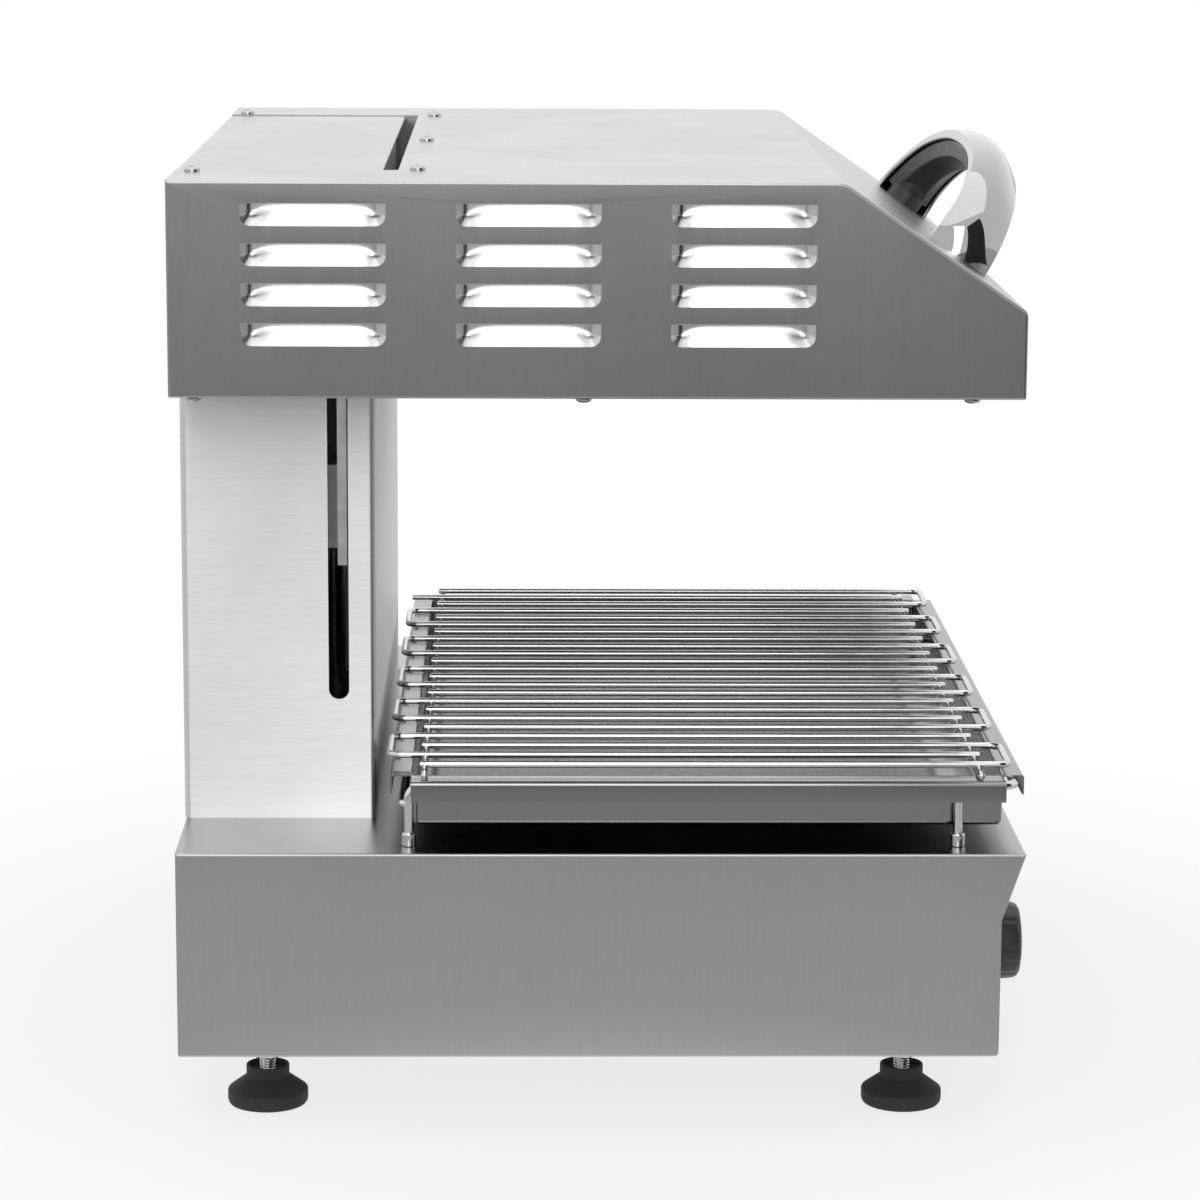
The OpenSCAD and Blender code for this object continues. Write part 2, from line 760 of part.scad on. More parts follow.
// The pocket of one louver, its top edge at the origin, pressed along -X from the outer face at
// lip and open upward behind the sheet
module louver_pocket(lip, grow, rise) intersection() {
    along_x(-sheet - louver_depth - grow, lip) louver_outline(-grow);
    along_y(-louver_w, louver_w) polygon([[lip, rise], [-sheet - louver_depth - grow, rise],
        [-sheet - louver_depth - grow, -louver_h * louver_floor], [-grow, -louver_h - grow],
        [lip, -louver_h - grow]]);
}

function louver_places() = [for (i = [0:louver_cols - 1], j = [0:louver_rows - 1])
    [louver_start + i * louver_pitch_d + louver_w / 2, hood_top - louver_top - j * louver_pitch_z]];

module hood_side() {
    difference() {
        union() {
            along_x(inner_w, half_w) polygon(hood_profile());
            for (p = louver_places()) translate([half_w, p[0], p[1]])
                louver_pocket(-sheet / 2, louver_skin, 0);
        }
        for (p = louver_places()) translate([half_w, p[0], p[1]]) louver_pocket(1, 0, 0.01);
    }
    difference() {
        block([inner_w - flange_w, sheet, hood_bottom],
            [inner_w, hood_d - hood_flange - sheet_gap, hood_bottom + sheet]);
        for (p = bottom_screw_places()) translate([abs(p[0]), p[1], hood_bottom - 1])
            cylinder(r = hood_hole_r, h = sheet + 2);
    }
}

module hood_side_right() color("silver") framed() hood_side();
module hood_side_left() color("silver") framed() mirror([1, 0, 0]) hood_side();

// The rear panel runs round the column as a tunnel, with a flange under the hood's top
tunnel_top = hood_top - sheet - sheet_gap;
tunnel_bottom = hood_bottom + sheet + reflector_t + 2 * sheet_gap;

module hood_rear_panel() color("silver") framed() difference() {
    union() {
        along_z(tunnel_bottom, tunnel_top) polygon(folded([[-inner_w + sheet_gap, 0],
            [-cutout_half, 0], [-cutout_half, cutout_front], [cutout_half, cutout_front],
            [cutout_half, 0], [inner_w - sheet_gap, 0]], sheet));
        block([-cutout_half - flange_w, cutout_front, tunnel_top - sheet],
            [cutout_half + flange_w, cutout_front + flange_w, tunnel_top]);
        both_sides() block([cutout_half, sheet / 2, tunnel_top - sheet],
            [cutout_half + flange_w, cutout_front + flange_w, tunnel_top]);
    }
    for (p = top_screw_places()) translate([p[0], p[1], tunnel_top - 2 * sheet])
        cylinder(r = hood_hole_r, h = 3 * sheet);
    both_sides() for (z = arm_bolt_z) translate([cutout_half - 1, arm_bolt_d, z])
        rotate([0, 90, 0]) cylinder(r = bolt_hole_r, h = sheet + 2);
}

// Reflector: a plate that closes the underside, and the heated cavity in it
cavity_side = 26;
cavity_behind = 32;
cavity_before = 22;
cavity_half = half_w - cavity_side;
cavity_rear = cutout_front + cavity_behind;
cavity_front = hood_d - cavity_before;
cavity_h = 42;
element_hole_gap = 0.2;
plate_z = hood_bottom + sheet + sheet_gap;

module reflector() color("gainsboro") framed() difference() {
    union() {
        block([-inner_w + sheet_gap, sheet + sheet_gap, plate_z],
            [inner_w - sheet_gap, hood_d - sheet - sheet_gap, plate_z + reflector_t]);
        block([-cavity_half, cavity_rear, plate_z],
            [cavity_half, cavity_front, hood_bottom + cavity_h]);
    }
    block([-cavity_half + reflector_t, cavity_rear + reflector_t, hood_bottom],
        [cavity_half - reflector_t, cavity_front - reflector_t, hood_bottom + cavity_h - reflector_t]);
    block([-cutout_half, 0, hood_bottom], [cutout_half, cutout_front, hood_top]);
    for (p = bottom_screw_places()) translate([p[0], p[1], hood_bottom])
        cylinder(r = hood_hole_r, h = 2 * sheet + 2);
    for (x = element_leg_places())
        translate([x, cavity_rear + 2 * reflector_t, hood_bottom + element_z])
            rotate([90, 0, 0]) cylinder(r = element_dia / 2 + element_hole_gap, h = 4 * reflector_t);
}

insulation_inset = 6;

module insulation() color("wheat") framed()
    block([-cavity_half, cavity_rear, hood_bottom + cavity_h + sheet_gap],
        [cavity_half, cavity_front - insulation_inset,
            hood_bottom + cavity_h + sheet_gap + insulation_t]);

zone_x = cavity_half / 2 - 12;
function element_places() = [for (s = [-1, 1], i = [0:elements_per_zone - 1])
    s * (zone_x + (i - (elements_per_zone - 1) / 2) * 2 * element_pitch)];
function element_leg_places() =
    [for (x = element_places(), s = [-1, 1]) x + s * element_pitch / 2];

element_clear = 20;
element_tail = 14;
pin_r = 1.5;
pin_l = 8;
element_front = cavity_front - element_clear - element_pitch / 2;
element_rear = cavity_rear - element_tail;

module heating_elements() color("dimgray") framed()
    for (x = element_places()) translate([x, element_front, hood_bottom + element_z]) {
        rotate_extrude(angle = 180, $fn = 48) translate([element_pitch / 2, 0])
            circle(r = element_dia / 2, $fn = 24);
        for (s = [-1, 1]) translate([s * element_pitch / 2, 0, 0]) rotate([90, 0, 0]) {
            cylinder(r = element_dia / 2, h = element_front - element_rear, $fn = 24);
            translate([0, 0, element_front - element_rear]) cylinder(r = pin_r, h = pin_l, $fn = 24);
        }
    }

support_t = 3;
support_w = 10;
support_rear = 55;
support_front = 75;
support_side = 8;
support_half = cavity_half - support_side;

module element_supports() color("gray") framed()
    for (d = [cavity_rear + support_rear, cavity_front - support_front]) {
        z = hood_bottom + element_z - element_dia / 2;
        block([-support_half, d, z - support_t], [support_half, d + support_w, z]);
        for (x = [-support_half, -support_t / 2, support_half - support_t])
            block([x, d, z], [x + support_t, d + support_w, hood_bottom + cavity_h - reflector_t]);
    }

module hood_screws() color("silver") framed() {
    for (p = top_screw_places()) translate([p[0], p[1], hood_top])
        screw(top_head_r, hood_screw_r, hood_screw_l);
    for (p = bottom_screw_places()) translate([p[0], p[1], hood_bottom]) mirror([0, 0, 1])
        screw(bottom_head_r, hood_screw_r, hood_screw_l);
    both_sides() for (z = arm_bolt_z) translate([cutout_half + sheet, arm_bolt_d, z])
        rotate([0, 90, 0]) screw(bolt_head_r, bolt_r, bolt_l);
}

// ---- Handle ----

// The bow is a superellipse in the plane across the slope; s runs from one foot to the other
bow_power = 2.3;
bow_half = handle_span / 2 + 16;
bow_steps = 28;
function bow_x(a, half) = half * (cos(a) < 0 ? -1 : 1) * pow(abs(cos(a)), 2 / bow_power);
function bow_z(a, h) = h * pow(abs(sin(a)), 2 / bow_power);
function bow_point(a, half, h) = [bow_x(a, half), bow_z(a, h)];
function bow_angles(from) = [for (i = [0:bow_steps]) from + (180 - 2 * from) * i / bow_steps];
function bow_dir(a, half, h) =
    unit(bow_point(min(a + 2, 180), half, h) - bow_point(max(a - 2, 0), half, h));
function bow_width(a) = handle_w + (handle_mid_w - handle_w) * sqrt(sin(a));

// One ring of a bow's section: across the bow by c, from its outer face down by t
function ring(a, outline, half, h) =
    let (outer = bow_point(a, half, h), w = bow_width(a) / 2, inward = left_of(bow_dir(a, half, h)))
    [for (p = outline) [outer[0] + inward[0] * p[1], p[0] * w, outer[1] + inward[1] * p[1]]];

module swept(rings) {
    n = len(rings[0]);
    m = len(rings);
    polyhedron(
        points = [for (r = rings, p = r) p],
        faces = concat([[for (j = [n - 1:-1:0]) j]],
            [for (i = [0:m - 2], j = [0:n - 1]) let (k = (j + 1) % n)
                each [[i * n + j, i * n + k, (i + 1) * n + k],
                    [i * n + j, (i + 1) * n + k, (i + 1) * n + j]]],
            [[for (j = [0:n - 1]) (m - 1) * n + j]]),
        convexity = 6);
}

shell_t = 2.2;
shell_depth = 13;
liner_gap = 0.3;
liner_from = 4;
post_h = 9;
post_stud_r = 4;
post_stud_l = 8;
liner_t = 9;
function crown_arc(w, lift, from) = [for (i = [-6:6]) [w * i / 6, from + lift * (1 - cos(90 * i / 6))]];
function shell_outline() = concat(crown_arc(1, crown, 0), [[1, shell_depth], [0.84, shell_depth]],
    [for (p = crown_arc(-0.84, crown - 1, shell_t)) p], [[-0.84, shell_depth], [-1, shell_depth]]);
function liner_outline() = concat(crown_arc(0.8, crown - 1, shell_t + liner_gap),
    [[0.8, shell_depth + 2], [0.5, shell_depth + liner_t], [-0.5, shell_depth + liner_t],
        [-0.8, shell_depth + 2]]);

// Places the handle's plane on the sloping front, its feet on the sheet
module on_slope() translate([0, handle_at[0], handle_at[1]]) rotate([-slope_angle, 0, 0]) children();

module handle_shell() color("gainsboro") framed() on_slope() difference() {
    swept([for (a = bow_angles(0)) ring(a, shell_outline(), bow_half, handle_h)]);
    translate([-body_w / 2, -handle_w, -handle_h]) cube([body_w, 2 * handle_w, handle_h]);
}

module handle_liner() color("black") framed() on_slope() difference() {
    swept([for (a = bow_angles(liner_from)) ring(a, liner_outline(), bow_half, handle_h)]);
    translate([-body_w / 2, -handle_w, post_h - handle_h])
        cube([body_w, 2 * handle_w, handle_h]);
}

module handle_posts() color("black") framed() for (s = [-1, 1]) post_place(s) {
    cylinder(r = post_dia / 2, h = post_h);
    translate([0, 0, -post_stud_l]) cylinder(r = post_stud_r, h = post_stud_l);
}

// ---- Carriage ----

arm_t = 4;
arm_foot = 14;
arm_head = 6;
arm_bolt_rises = [30, 80];
ear_behind = 36;
ear_before = 10;
bolt_behind = 24;
arm_low = hood_bottom + arm_foot;
arm_high = carriage_top - arm_head;
arm_bolt_z = [for (rise = arm_bolt_rises) hood_bottom + rise];
arm_ear_rear = slot_d - ear_behind;
arm_ear_front = carriage_front + ear_before;
arm_bolt_d = slot_d - bolt_behind;
block_bolt_x = 14;
block_bolt_z = 10;
window_w = 100;
window_h = 150;
window_z = (carriage_bottom + carriage_top) / 2;

module carriage_plate() color("silver") framed() difference() {
    block([-carriage_half, carriage_rear, carriage_bottom],
        [carriage_half, carriage_front, carriage_top]);
    block([-window_w / 2, carriage_rear - 1, window_z - window_h / 2],
        [window_w / 2, carriage_front + 1, window_z + window_h / 2]);
    for (s = [-1, 1], z = block_z, u = [-block_bolt_x, block_bolt_x],
            v = [block_bolt_z, block_h - block_bolt_z])
        translate([s * rod_x + u, carriage_front + 1, z + v]) rotate([90, 0, 0])
            cylinder(r = bolt_hole_r, h = carriage_t + 2);
}

module carriage_arms() color("silver") framed() both_sides() difference() {
    union() {
        block([carriage_half, carriage_rear, arm_low], [cutout_half - arm_t, carriage_front, arm_high]);
        block([cutout_half - arm_t, arm_ear_rear, arm_low], [cutout_half, arm_ear_front, arm_high]);
    }
    for (z = arm_bolt_z) translate([cutout_half - arm_t - 1, arm_bolt_d, z]) rotate([0, 90, 0])
        cylinder(r = bolt_hole_r, h = arm_t + 2);
}

bush_r = rod_r + 3;

module slide_blocks() color("slategray") framed() both_sides() for (z = block_z) difference() {
    block([rod_x - block_w / 2, carriage_rear - block_d, z],
        [rod_x + block_w / 2, carriage_rear, z + block_h]);
    translate([rod_x, rod_d, z - 1]) cylinder(r = bush_r, h = block_h + 2);
}

module slide_bushes() color("peru") framed() both_sides()
    for (z = block_z) translate([rod_x, rod_d, z]) difference() {
        cylinder(r = bush_r, h = block_h);
        translate([0, 0, -1]) cylinder(r = rod_r + bush_clearance, h = block_h + 2);
    }

module rope_lugs() color("darkgray") framed() both_sides() difference() {
    block([rope_x - lug_half, rope_front_d - lug_half, lug_z],
        [rope_x + lug_half, carriage_rear, lug_z + lug_h]);
    translate([rope_x, rope_front_d, lug_z - 1]) cylinder(r = rope_radius, h = lug_h + 2);
}

module rope_front_runs() color("gray") framed() both_sides()
    translate([rope_x, rope_front_d, lug_z]) cylinder(r = rope_radius, h = pulley_z - lug_z, $fn = 24);

// ---- Counterweight ----

module counterweight() color("dimgray") framed()
    block([-weight_w / 2, rope_rear_d - weight_t / 2, weight_bottom],
        [weight_w / 2, rope_rear_d + weight_t / 2, weight_top]);

module weight_eyes() color("darkgray") framed() both_sides()
    translate([rope_x, rope_rear_d, weight_top]) difference() {
        cylinder(r = eye_r, h = eye_h);
        translate([0, 0, eye_floor]) cylinder(r = rope_radius, h = eye_h);
    }

module rope_rear_runs() color("gray") framed() both_sides()
    translate([rope_x, rope_rear_d, weight_top + eye_floor])
        cylinder(r = rope_radius, h = pulley_z - weight_top - eye_floor, $fn = 24);

// ---- Knobs and feet ----

knob_r = knob_dia / 2;
knob_l = knob_reach - knob_gap;
knob_ribs = 16;
rib_r = 3;
shaft_l = 14 + knob_gap + panel_t;

module knob(side) color("black") framed() {
    translate([side * knob_x, base_front + knob_gap, control_z]) rotate([-90, 0, 0]) {
        difference() {
            rotate_extrude() polygon([[0, 0], [knob_r, 0], [knob_r, 3], [knob_r - 1.5, 5],
                [knob_r - 3, knob_l - 3], [knob_r - 5, knob_l - 1], [knob_r - 12, knob_l], [0, knob_l]]);
            for (i = [0:knob_ribs - 1]) rotate([0, 0, (i + 0.5) * 360 / knob_ribs])
                translate([knob_r + 1.2, 0, 5.5]) cylinder(r = rib_r, h = knob_l);
        }
        translate([0, 0, -shaft_l]) cylinder(r = shaft_dia / 2, h = shaft_l);
    }
}

module knob_left() knob(-1);
module knob_right() knob(1);

stud_sink = 12;
hexagon_h = 5;

module foot(p) color("black") framed() translate([p[0] * foot_x, p[1], 0])
    rotate_extrude() polygon([[0, 0], [foot_dia / 2 - 2, 0], [foot_dia / 2 - 1, 5],
        [foot_dia / 2, 6], [foot_dia / 2, 11.5], [foot_dia / 2 - 1, 13], [foot_neck_dia / 2 + 2, 14.5],
        [foot_neck_dia / 2, 17], [foot_neck_dia / 2 - 1, foot_pad_h], [stud_dia / 2, foot_pad_h],
        [stud_dia / 2, foot_pad_h - stud_sink], [0, foot_pad_h - stud_sink]]);

module stud(p) color("silver") framed() translate([p[0] * foot_x, p[1], 0]) {
    translate([0, 0, foot_pad_h - stud_sink])
        cylinder(r = stud_dia / 2, h = foot_h + socket_h - foot_pad_h + stud_sink);
    translate([0, 0, foot_pad_h]) cylinder(r = foot_neck_dia / 2 - 3.5, h = hexagon_h, $fn = 6);
}

module foot_front_left() foot(FEET[0]);
module foot_front_right() foot(FEET[1]);
module foot_rear_left() foot(FEET[2]);
module foot_rear_right() foot(FEET[3]);
module stud_front_left() stud(FEET[0]);
module stud_front_right() stud(FEET[1]);
module stud_rear_left() stud(FEET[2]);
module stud_rear_right() stud(FEET[3]);

// ---- Tray, stand and grid ----

module drip_tray() color("silver") framed() {
    half = tray_w / 2;
    low = rim_top - tray_depth;
    difference() {
        block([-pan_half, pan_rear, low], [pan_half, pan_front, rim_top]);
        block([-pan_half + tray_t, pan_rear + tray_t, low + tray_t],
            [pan_half - tray_t, pan_front - tray_t, rim_top + 1]);
    }
    both_sides() {
        block([pan_half, pan_rear, rim_top - tray_t], [half, pan_front, rim_top]);
        block([half - tray_t, pan_rear, rim_top - tray_lip], [half, pan_front, rim_top]);
    }
    block([-pan_half, pan_front, rim_top - tray_t], [pan_half, tray_front, rim_top]);
    block([-pan_half, tray_front - tray_t, rim_top - tray_lip], [pan_half, tray_front, rim_top]);
    block([-pan_half, tray_rear, rim_top - tray_t], [pan_half, pan_rear, rim_top]);
    block([-pan_half, tray_rear, rim_top - tray_lip], [pan_half, tray_rear + tray_t, rim_top]);
}

// A straight wire from a to b, both on one line along X, Y or Z
module wire(a, b, r) {
    v = b - a;
    translate(a) rotate([0, acos(v[2] / norm(v)), atan2(v[1], v[0])])
        cylinder(r = r, h = norm(v), $fn = 24);
}

// A flat quarter bend of wire about [x, d], starting at the angle given
module bend(x, d, z, start, bend_r, r) translate([x, d, z]) rotate([0, 0, start])
    rotate_extrude(angle = 90, $fn = 32) translate([bend_r, 0]) circle(r = r, $fn = 24);

cap_floor = 2;

module tray_stand() color("lightgray") framed() {
    r = stand_wire / 2;
    x = stand_x;
    wire([-x + stand_bend, stand_front, stand_z], [x - stand_bend, stand_front, stand_z], r);
    wire([-x, stand_rear, stand_rear_z], [x, stand_rear, stand_rear_z], r - weld_shrink);
    both_sides() {
        wire([x, rear_leg_d + stand_bend, stand_z], [x, stand_front - stand_bend, stand_z], r);
        bend(x - stand_bend, stand_front - stand_bend, stand_z, 0, stand_bend, r);
        translate([x, rear_leg_d + stand_bend, stand_z - stand_bend]) rotate([90, 0, 90])
            bend(0, 0, 0, 90, stand_bend, r);
        wire([x, rear_leg_d, base_top + cap_floor], [x, rear_leg_d, stand_z - stand_bend], r);
        wire([x, front_leg_d, base_top + cap_floor], [x, front_leg_d, stand_z], r - weld_shrink);
        wire([x, min(stand_rear, rear_leg_d) - weld_shrink, stand_rear_z],
            [x, max(stand_rear, rear_leg_d) + weld_shrink, stand_rear_z], r - weld_shrink);
    }
}

module stand_caps() color("silver") framed() both_sides()
    for (d = [rear_leg_d, front_leg_d]) translate([stand_x, d, base_top]) difference() {
        cylinder(r = leg_cap_dia / 2, h = leg_cap_h);
        translate([0, 0, cap_floor]) cylinder(r = stand_wire / 2, h = leg_cap_h);
    }

function grid_x(i) = (i - (grid_rods - 1) / 2) * grid_pitch;

// A hairpin: two rods joined by a cross piece at one end
module hairpin(xa, xb, tip, tail) {
    r = grid_wire / 2;
    s = tip > tail ? 1 : -1;
    for (x = [xa, xb]) wire([x, tail, rod_z], [x, tip - s * grid_bend, rod_z], r);
    wire([xa + grid_bend, tip, rod_z], [xb - grid_bend, tip, rod_z], r);
    bend(xa + grid_bend, tip - s * grid_bend, rod_z, s > 0 ? 90 : 180, grid_bend, r);
    bend(xb - grid_bend, tip - s * grid_bend, rod_z, s > 0 ? 0 : -90, grid_bend, r);
}

module grill_grid() color("whitesmoke") framed() {
    r = grid_wire / 2;
    for (i = [0:4:grid_rods - 3])
        hairpin(grid_x(i), grid_x(i + 2), grid_front_d, cross_rear_d - grid_overhang);
    for (i = [1:4:grid_rods - 4])
        hairpin(grid_x(i), grid_x(i + 2), grid_rear_d, cross_front_d + grid_overhang);
    wire([grid_x(grid_rods - 2), grid_rear_d + r, rod_z],
        [grid_x(grid_rods - 2), cross_front_d + grid_overhang, rod_z], r);
}

module grid_cross_wires() color("whitesmoke") framed()
    for (d = [cross_rear_d, cross_front_d])
        wire([-tray_w / 2 + cross_end, d, cross_z], [tray_w / 2 - cross_end, d, cross_z],
            grid_wire / 2);

base_wrap();
control_panel();
base_rear_panel();
base_bottom_plate();
foot_sockets();
column_casing();
column_cap();
column_crossbeam();
guide_rods();
rod_brackets();
stop_sleeves();
pulley_brackets();
pulley_axles();
rope_wraps();
energy_regulators();
pilot_lamps();
cable_gland();
gland_nut();
terminal_block();
wiring_loom();
frame_screws();
hood_shell();
hood_side_left();
hood_side_right();
hood_rear_panel();
reflector();
insulation();
heating_elements();
element_supports();
hood_screws();
handle_shell();
handle_liner();
handle_posts();
carriage_plate();
carriage_arms();
slide_blocks();
slide_bushes();
rope_lugs();
rope_front_runs();
counterweight();
weight_eyes();
rope_rear_runs();
pulley_left();
pulley_right();
knob_left();
knob_right();
foot_front_left();
foot_front_right();
foot_rear_left();
foot_rear_right();
stud_front_left();
stud_front_right();
stud_rear_left();
stud_rear_right();
tray_stand();
stand_caps();
drip_tray();
grill_grid();
grid_cross_wires();
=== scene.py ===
"""Looks of a rise-and-fall salamander grill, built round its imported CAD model.

Lengths in this file are millimetres in the part's own [x, d, z]: d is the distance forward of the
hood's rear face. world() turns a point into the frame's metres.
"""
import json
import math

import bmesh
import bpy
from mathutils import Matrix, Vector, geometry

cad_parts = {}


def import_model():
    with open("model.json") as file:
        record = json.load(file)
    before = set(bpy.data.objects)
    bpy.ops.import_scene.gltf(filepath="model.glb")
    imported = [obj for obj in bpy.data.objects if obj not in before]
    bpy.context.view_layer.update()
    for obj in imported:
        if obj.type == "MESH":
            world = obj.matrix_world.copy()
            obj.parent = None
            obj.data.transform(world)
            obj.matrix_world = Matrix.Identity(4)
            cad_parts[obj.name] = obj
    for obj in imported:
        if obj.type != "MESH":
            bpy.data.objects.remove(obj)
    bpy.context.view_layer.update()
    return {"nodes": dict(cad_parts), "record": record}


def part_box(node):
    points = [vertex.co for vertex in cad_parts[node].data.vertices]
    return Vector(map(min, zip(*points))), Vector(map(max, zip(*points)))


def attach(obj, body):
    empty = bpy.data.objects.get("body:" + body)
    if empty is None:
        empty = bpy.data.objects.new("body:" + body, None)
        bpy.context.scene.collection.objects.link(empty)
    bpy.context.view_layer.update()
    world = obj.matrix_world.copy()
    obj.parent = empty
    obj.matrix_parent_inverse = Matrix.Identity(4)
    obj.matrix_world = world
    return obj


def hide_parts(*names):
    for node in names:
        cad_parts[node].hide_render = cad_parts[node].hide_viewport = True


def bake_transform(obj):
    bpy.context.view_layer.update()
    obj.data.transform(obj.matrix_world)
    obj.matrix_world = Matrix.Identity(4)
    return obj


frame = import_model()

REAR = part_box("hood_rear_panel")[1].y * 1000


def world(p):
    return Vector((p[0], REAR - p[1], p[2])) / 1000


def span(node):
    """Lowest and highest corner of a CAD node as [x, d, z]."""
    low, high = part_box(node)
    return (
        Vector((low.x * 1000, REAR - high.y * 1000, low.z * 1000)),
        Vector((high.x * 1000, REAR - low.y * 1000, high.z * 1000)),
    )


# ---- Shapes ----


class Shape:
    """Points and the faces between them."""

    def __init__(self):
        self.points, self.faces = [], []

    def put(self, points, faces):
        base = len(self.points)
        self.points.extend(points)
        self.faces.extend([base + i for i in f] for f in faces)

    def rings(self, rings, closed=True, ends=False):
        """Quads from each ring of points to the next, with a face over each end if asked for."""
        n = len(rings[0])
        faces = []
        for i in range(len(rings) - 1):
            for j in range(n if closed else n - 1):
                k = (j + 1) % n
                faces.append((i * n + j, i * n + k, (i + 1) * n + k, (i + 1) * n + j))
        if ends:
            faces.append(tuple(range(n)))
            faces.append(tuple((len(rings) - 1) * n + j for j in range(n)))
        self.put([p for ring in rings for p in ring], faces)

    def flat(self, outline, holes, place):
        """A flat face with holes: place(u, v) gives the point."""
        points, edges = [], []
        for loop in [outline, *holes]:
            base = len(points)
            points += [Vector(p) for p in loop]
            edges += [(base + i, base + (i + 1) % len(loop)) for i in range(len(loop))]
        verts, _, faces, *_ = geometry.delaunay_2d_cdt(points, edges, [], 1, 1e-4)
        kept = []
        for f in faces:
            middle = sum((verts[i] for i in f), Vector((0, 0))) / len(f)
            if not any(inside(middle, hole) for hole in holes):
                kept.append(f)
        self.put([place(v.x, v.y) for v in verts], kept)


def slab(shape, a, b):
    """A box between two corners."""
    points = [Vector((x, y, z)) for x in (a[0], b[0]) for y in (a[1], b[1]) for z in (a[2], b[2])]
    shape.put(points, [
        (0, 1, 3, 2), (4, 6, 7, 5), (0, 4, 5, 1), (2, 3, 7, 6), (0, 2, 6, 4), (1, 5, 7, 3)])


def inside(p, loop):
    """Whether p lies inside the loop, by counting the edges beside it."""
    odd = False
    for a, b in zip(loop, [*loop[1:], loop[0]]):
        if (a[1] > p.y) != (b[1] > p.y):
            if p.x < (b[0] - a[0]) * (p.y - a[1]) / (b[1] - a[1]) + a[0]:
                odd = not odd
    return odd


def turns(count):
    """Angles that share out a full turn."""
    return [2 * math.pi * k / count for k in range(count)]


def turned(v, angle):
    c, s = math.cos(angle), math.sin(angle)
    return Vector((c * v.x - s * v.y, s * v.x + c * v.y))


def corner(a, p, b, radius, inset, steps):
    """The arc that rounds corner p between a and b, on an outline drawn in by inset."""
    e1, e2 = (p - a).normalized(), (b - p).normalized()
    n1, n2 = turned(e1, math.pi / 2), turned(e2, math.pi / 2)
    turn = math.atan2(e1.x * e2.y - e1.y * e2.x, e1.dot(e2))
    q = p + (n1 + n2) * inset / (1 + n1.dot(n2))
    r = max(radius - inset, 0.02) if turn > 0 else radius + inset
    begin = q - e1 * r * math.tan(abs(turn) / 2)
    centre = begin + (n1 if turn > 0 else -n1) * r
    return [centre + turned(begin - centre, turn * k / steps) for k in range(steps + 1)]


def outline(corners, inset=0.0, steps=6):
    """A closed anticlockwise outline with rounded corners, from (u, v, radius)."""
    n, points = len(corners), []
    for i in range(n):
        a, p, b = (Vector(corners[j % n][:2]) for j in (i - 1, i, i + 1))
        points += corner(a, p, b, corners[i][2], inset, steps)
    return points


def path(corners, inset=0.0, steps=6):
    """An open line with rounded corners; a positive inset moves it to its left."""
    first, last = corners[0], corners[-1]
    points = []
    for i in range(1, len(corners) - 1):
        a, p, b = (Vector(corners[j][:2]) for j in (i - 1, i, i + 1))
        points += corner(a, p, b, corners[i][2], inset, steps)
    e1 = (Vector(corners[1][:2]) - Vector(first[:2])).normalized()
    e2 = (Vector(last[:2]) - Vector(corners[-2][:2])).normalized()
    start = Vector(first[:2]) + turned(e1, math.pi / 2) * inset
    end = Vector(last[:2]) + turned(e2, math.pi / 2) * inset
    return [start, *points, end]


def rect(u0, u1, v0, v1):
    return [(u0, v0), (u1, v0), (u1, v1), (u0, v1)]


def box_corners(u0, u1, v0, v1, radius):
    return [(u, v, radius) for u, v in rect(u0, u1, v0, v1)]


def bend(radius, steps=5):
    """How far back from its edge and how far down a quarter bend is at each step."""
    turn = [math.pi / 2 * k / steps for k in range(steps + 1)]
    return [(radius * (1 - math.sin(t)), radius * (1 - math.cos(t))) for t in turn]


def pan(shape, corners, holes, place, radius):
    """A flat face whose edge bends inward with that radius: place(u, v, depth) gives the point."""
    shape.rings([
        [place(p.x, p.y, depth) for p in outline(corners, inset)] for inset, depth in bend(radius)
    ])
    shape.flat(outline(corners, radius), holes, lambda u, v: place(u, v, 0))


def basis(axis):
    """Two directions square to the axis, and the axis itself at length 1."""
    w = Vector(axis).normalized()
    u = w.orthogonal().normalized()
    return u, w.cross(u), w


def circle(origin, axis, radius, height=0.0, sides=48, scale=None):
    """Points round an axis, height along it from the origin. scale(angle) scales the radius."""
    u, v, w = basis(axis)
    ring = []
    for t in turns(sides):
        share = scale(t) if scale else 1
        out = (u * math.cos(t) + v * math.sin(t)) * radius * share
        ring.append(Vector(origin) + out + w * height)
    return ring


def lathe(shape, profile, origin, axis, sides=48, wave=None, ends=True):
    """Turns (radius, height) points about an axis. wave(angle, i) scales the radius of point i."""
    shape.rings([
        circle(origin, axis, r, h, sides, (lambda t, i=i: wave(t, i)) if wave else None)
        for i, (r, h) in enumerate(profile)
    ], ends=ends)


def stacked(shape, low, high, step, ring):
    """A solid through the rings that ring(z) gives, about a step apart from low to high."""
    count = int((high - low) / step)
    shape.rings([ring(low + (high - low) * i / count) for i in range(count + 1)], ends=True)


def hexagon(t):
    """A hexagon's distance from its middle at angle t, as a share of its corners' distance."""
    step = math.pi / 3
    return math.cos(step / 2) / math.cos(t % step - step / 2)


DOME = 0.35  # how far a wire's domed end reaches, as a share of its radius
DOME_RINGS = [(0.92, 0.0), (0.72, 0.7), (0.3, 1.0)]  # share of the radius, share of the reach


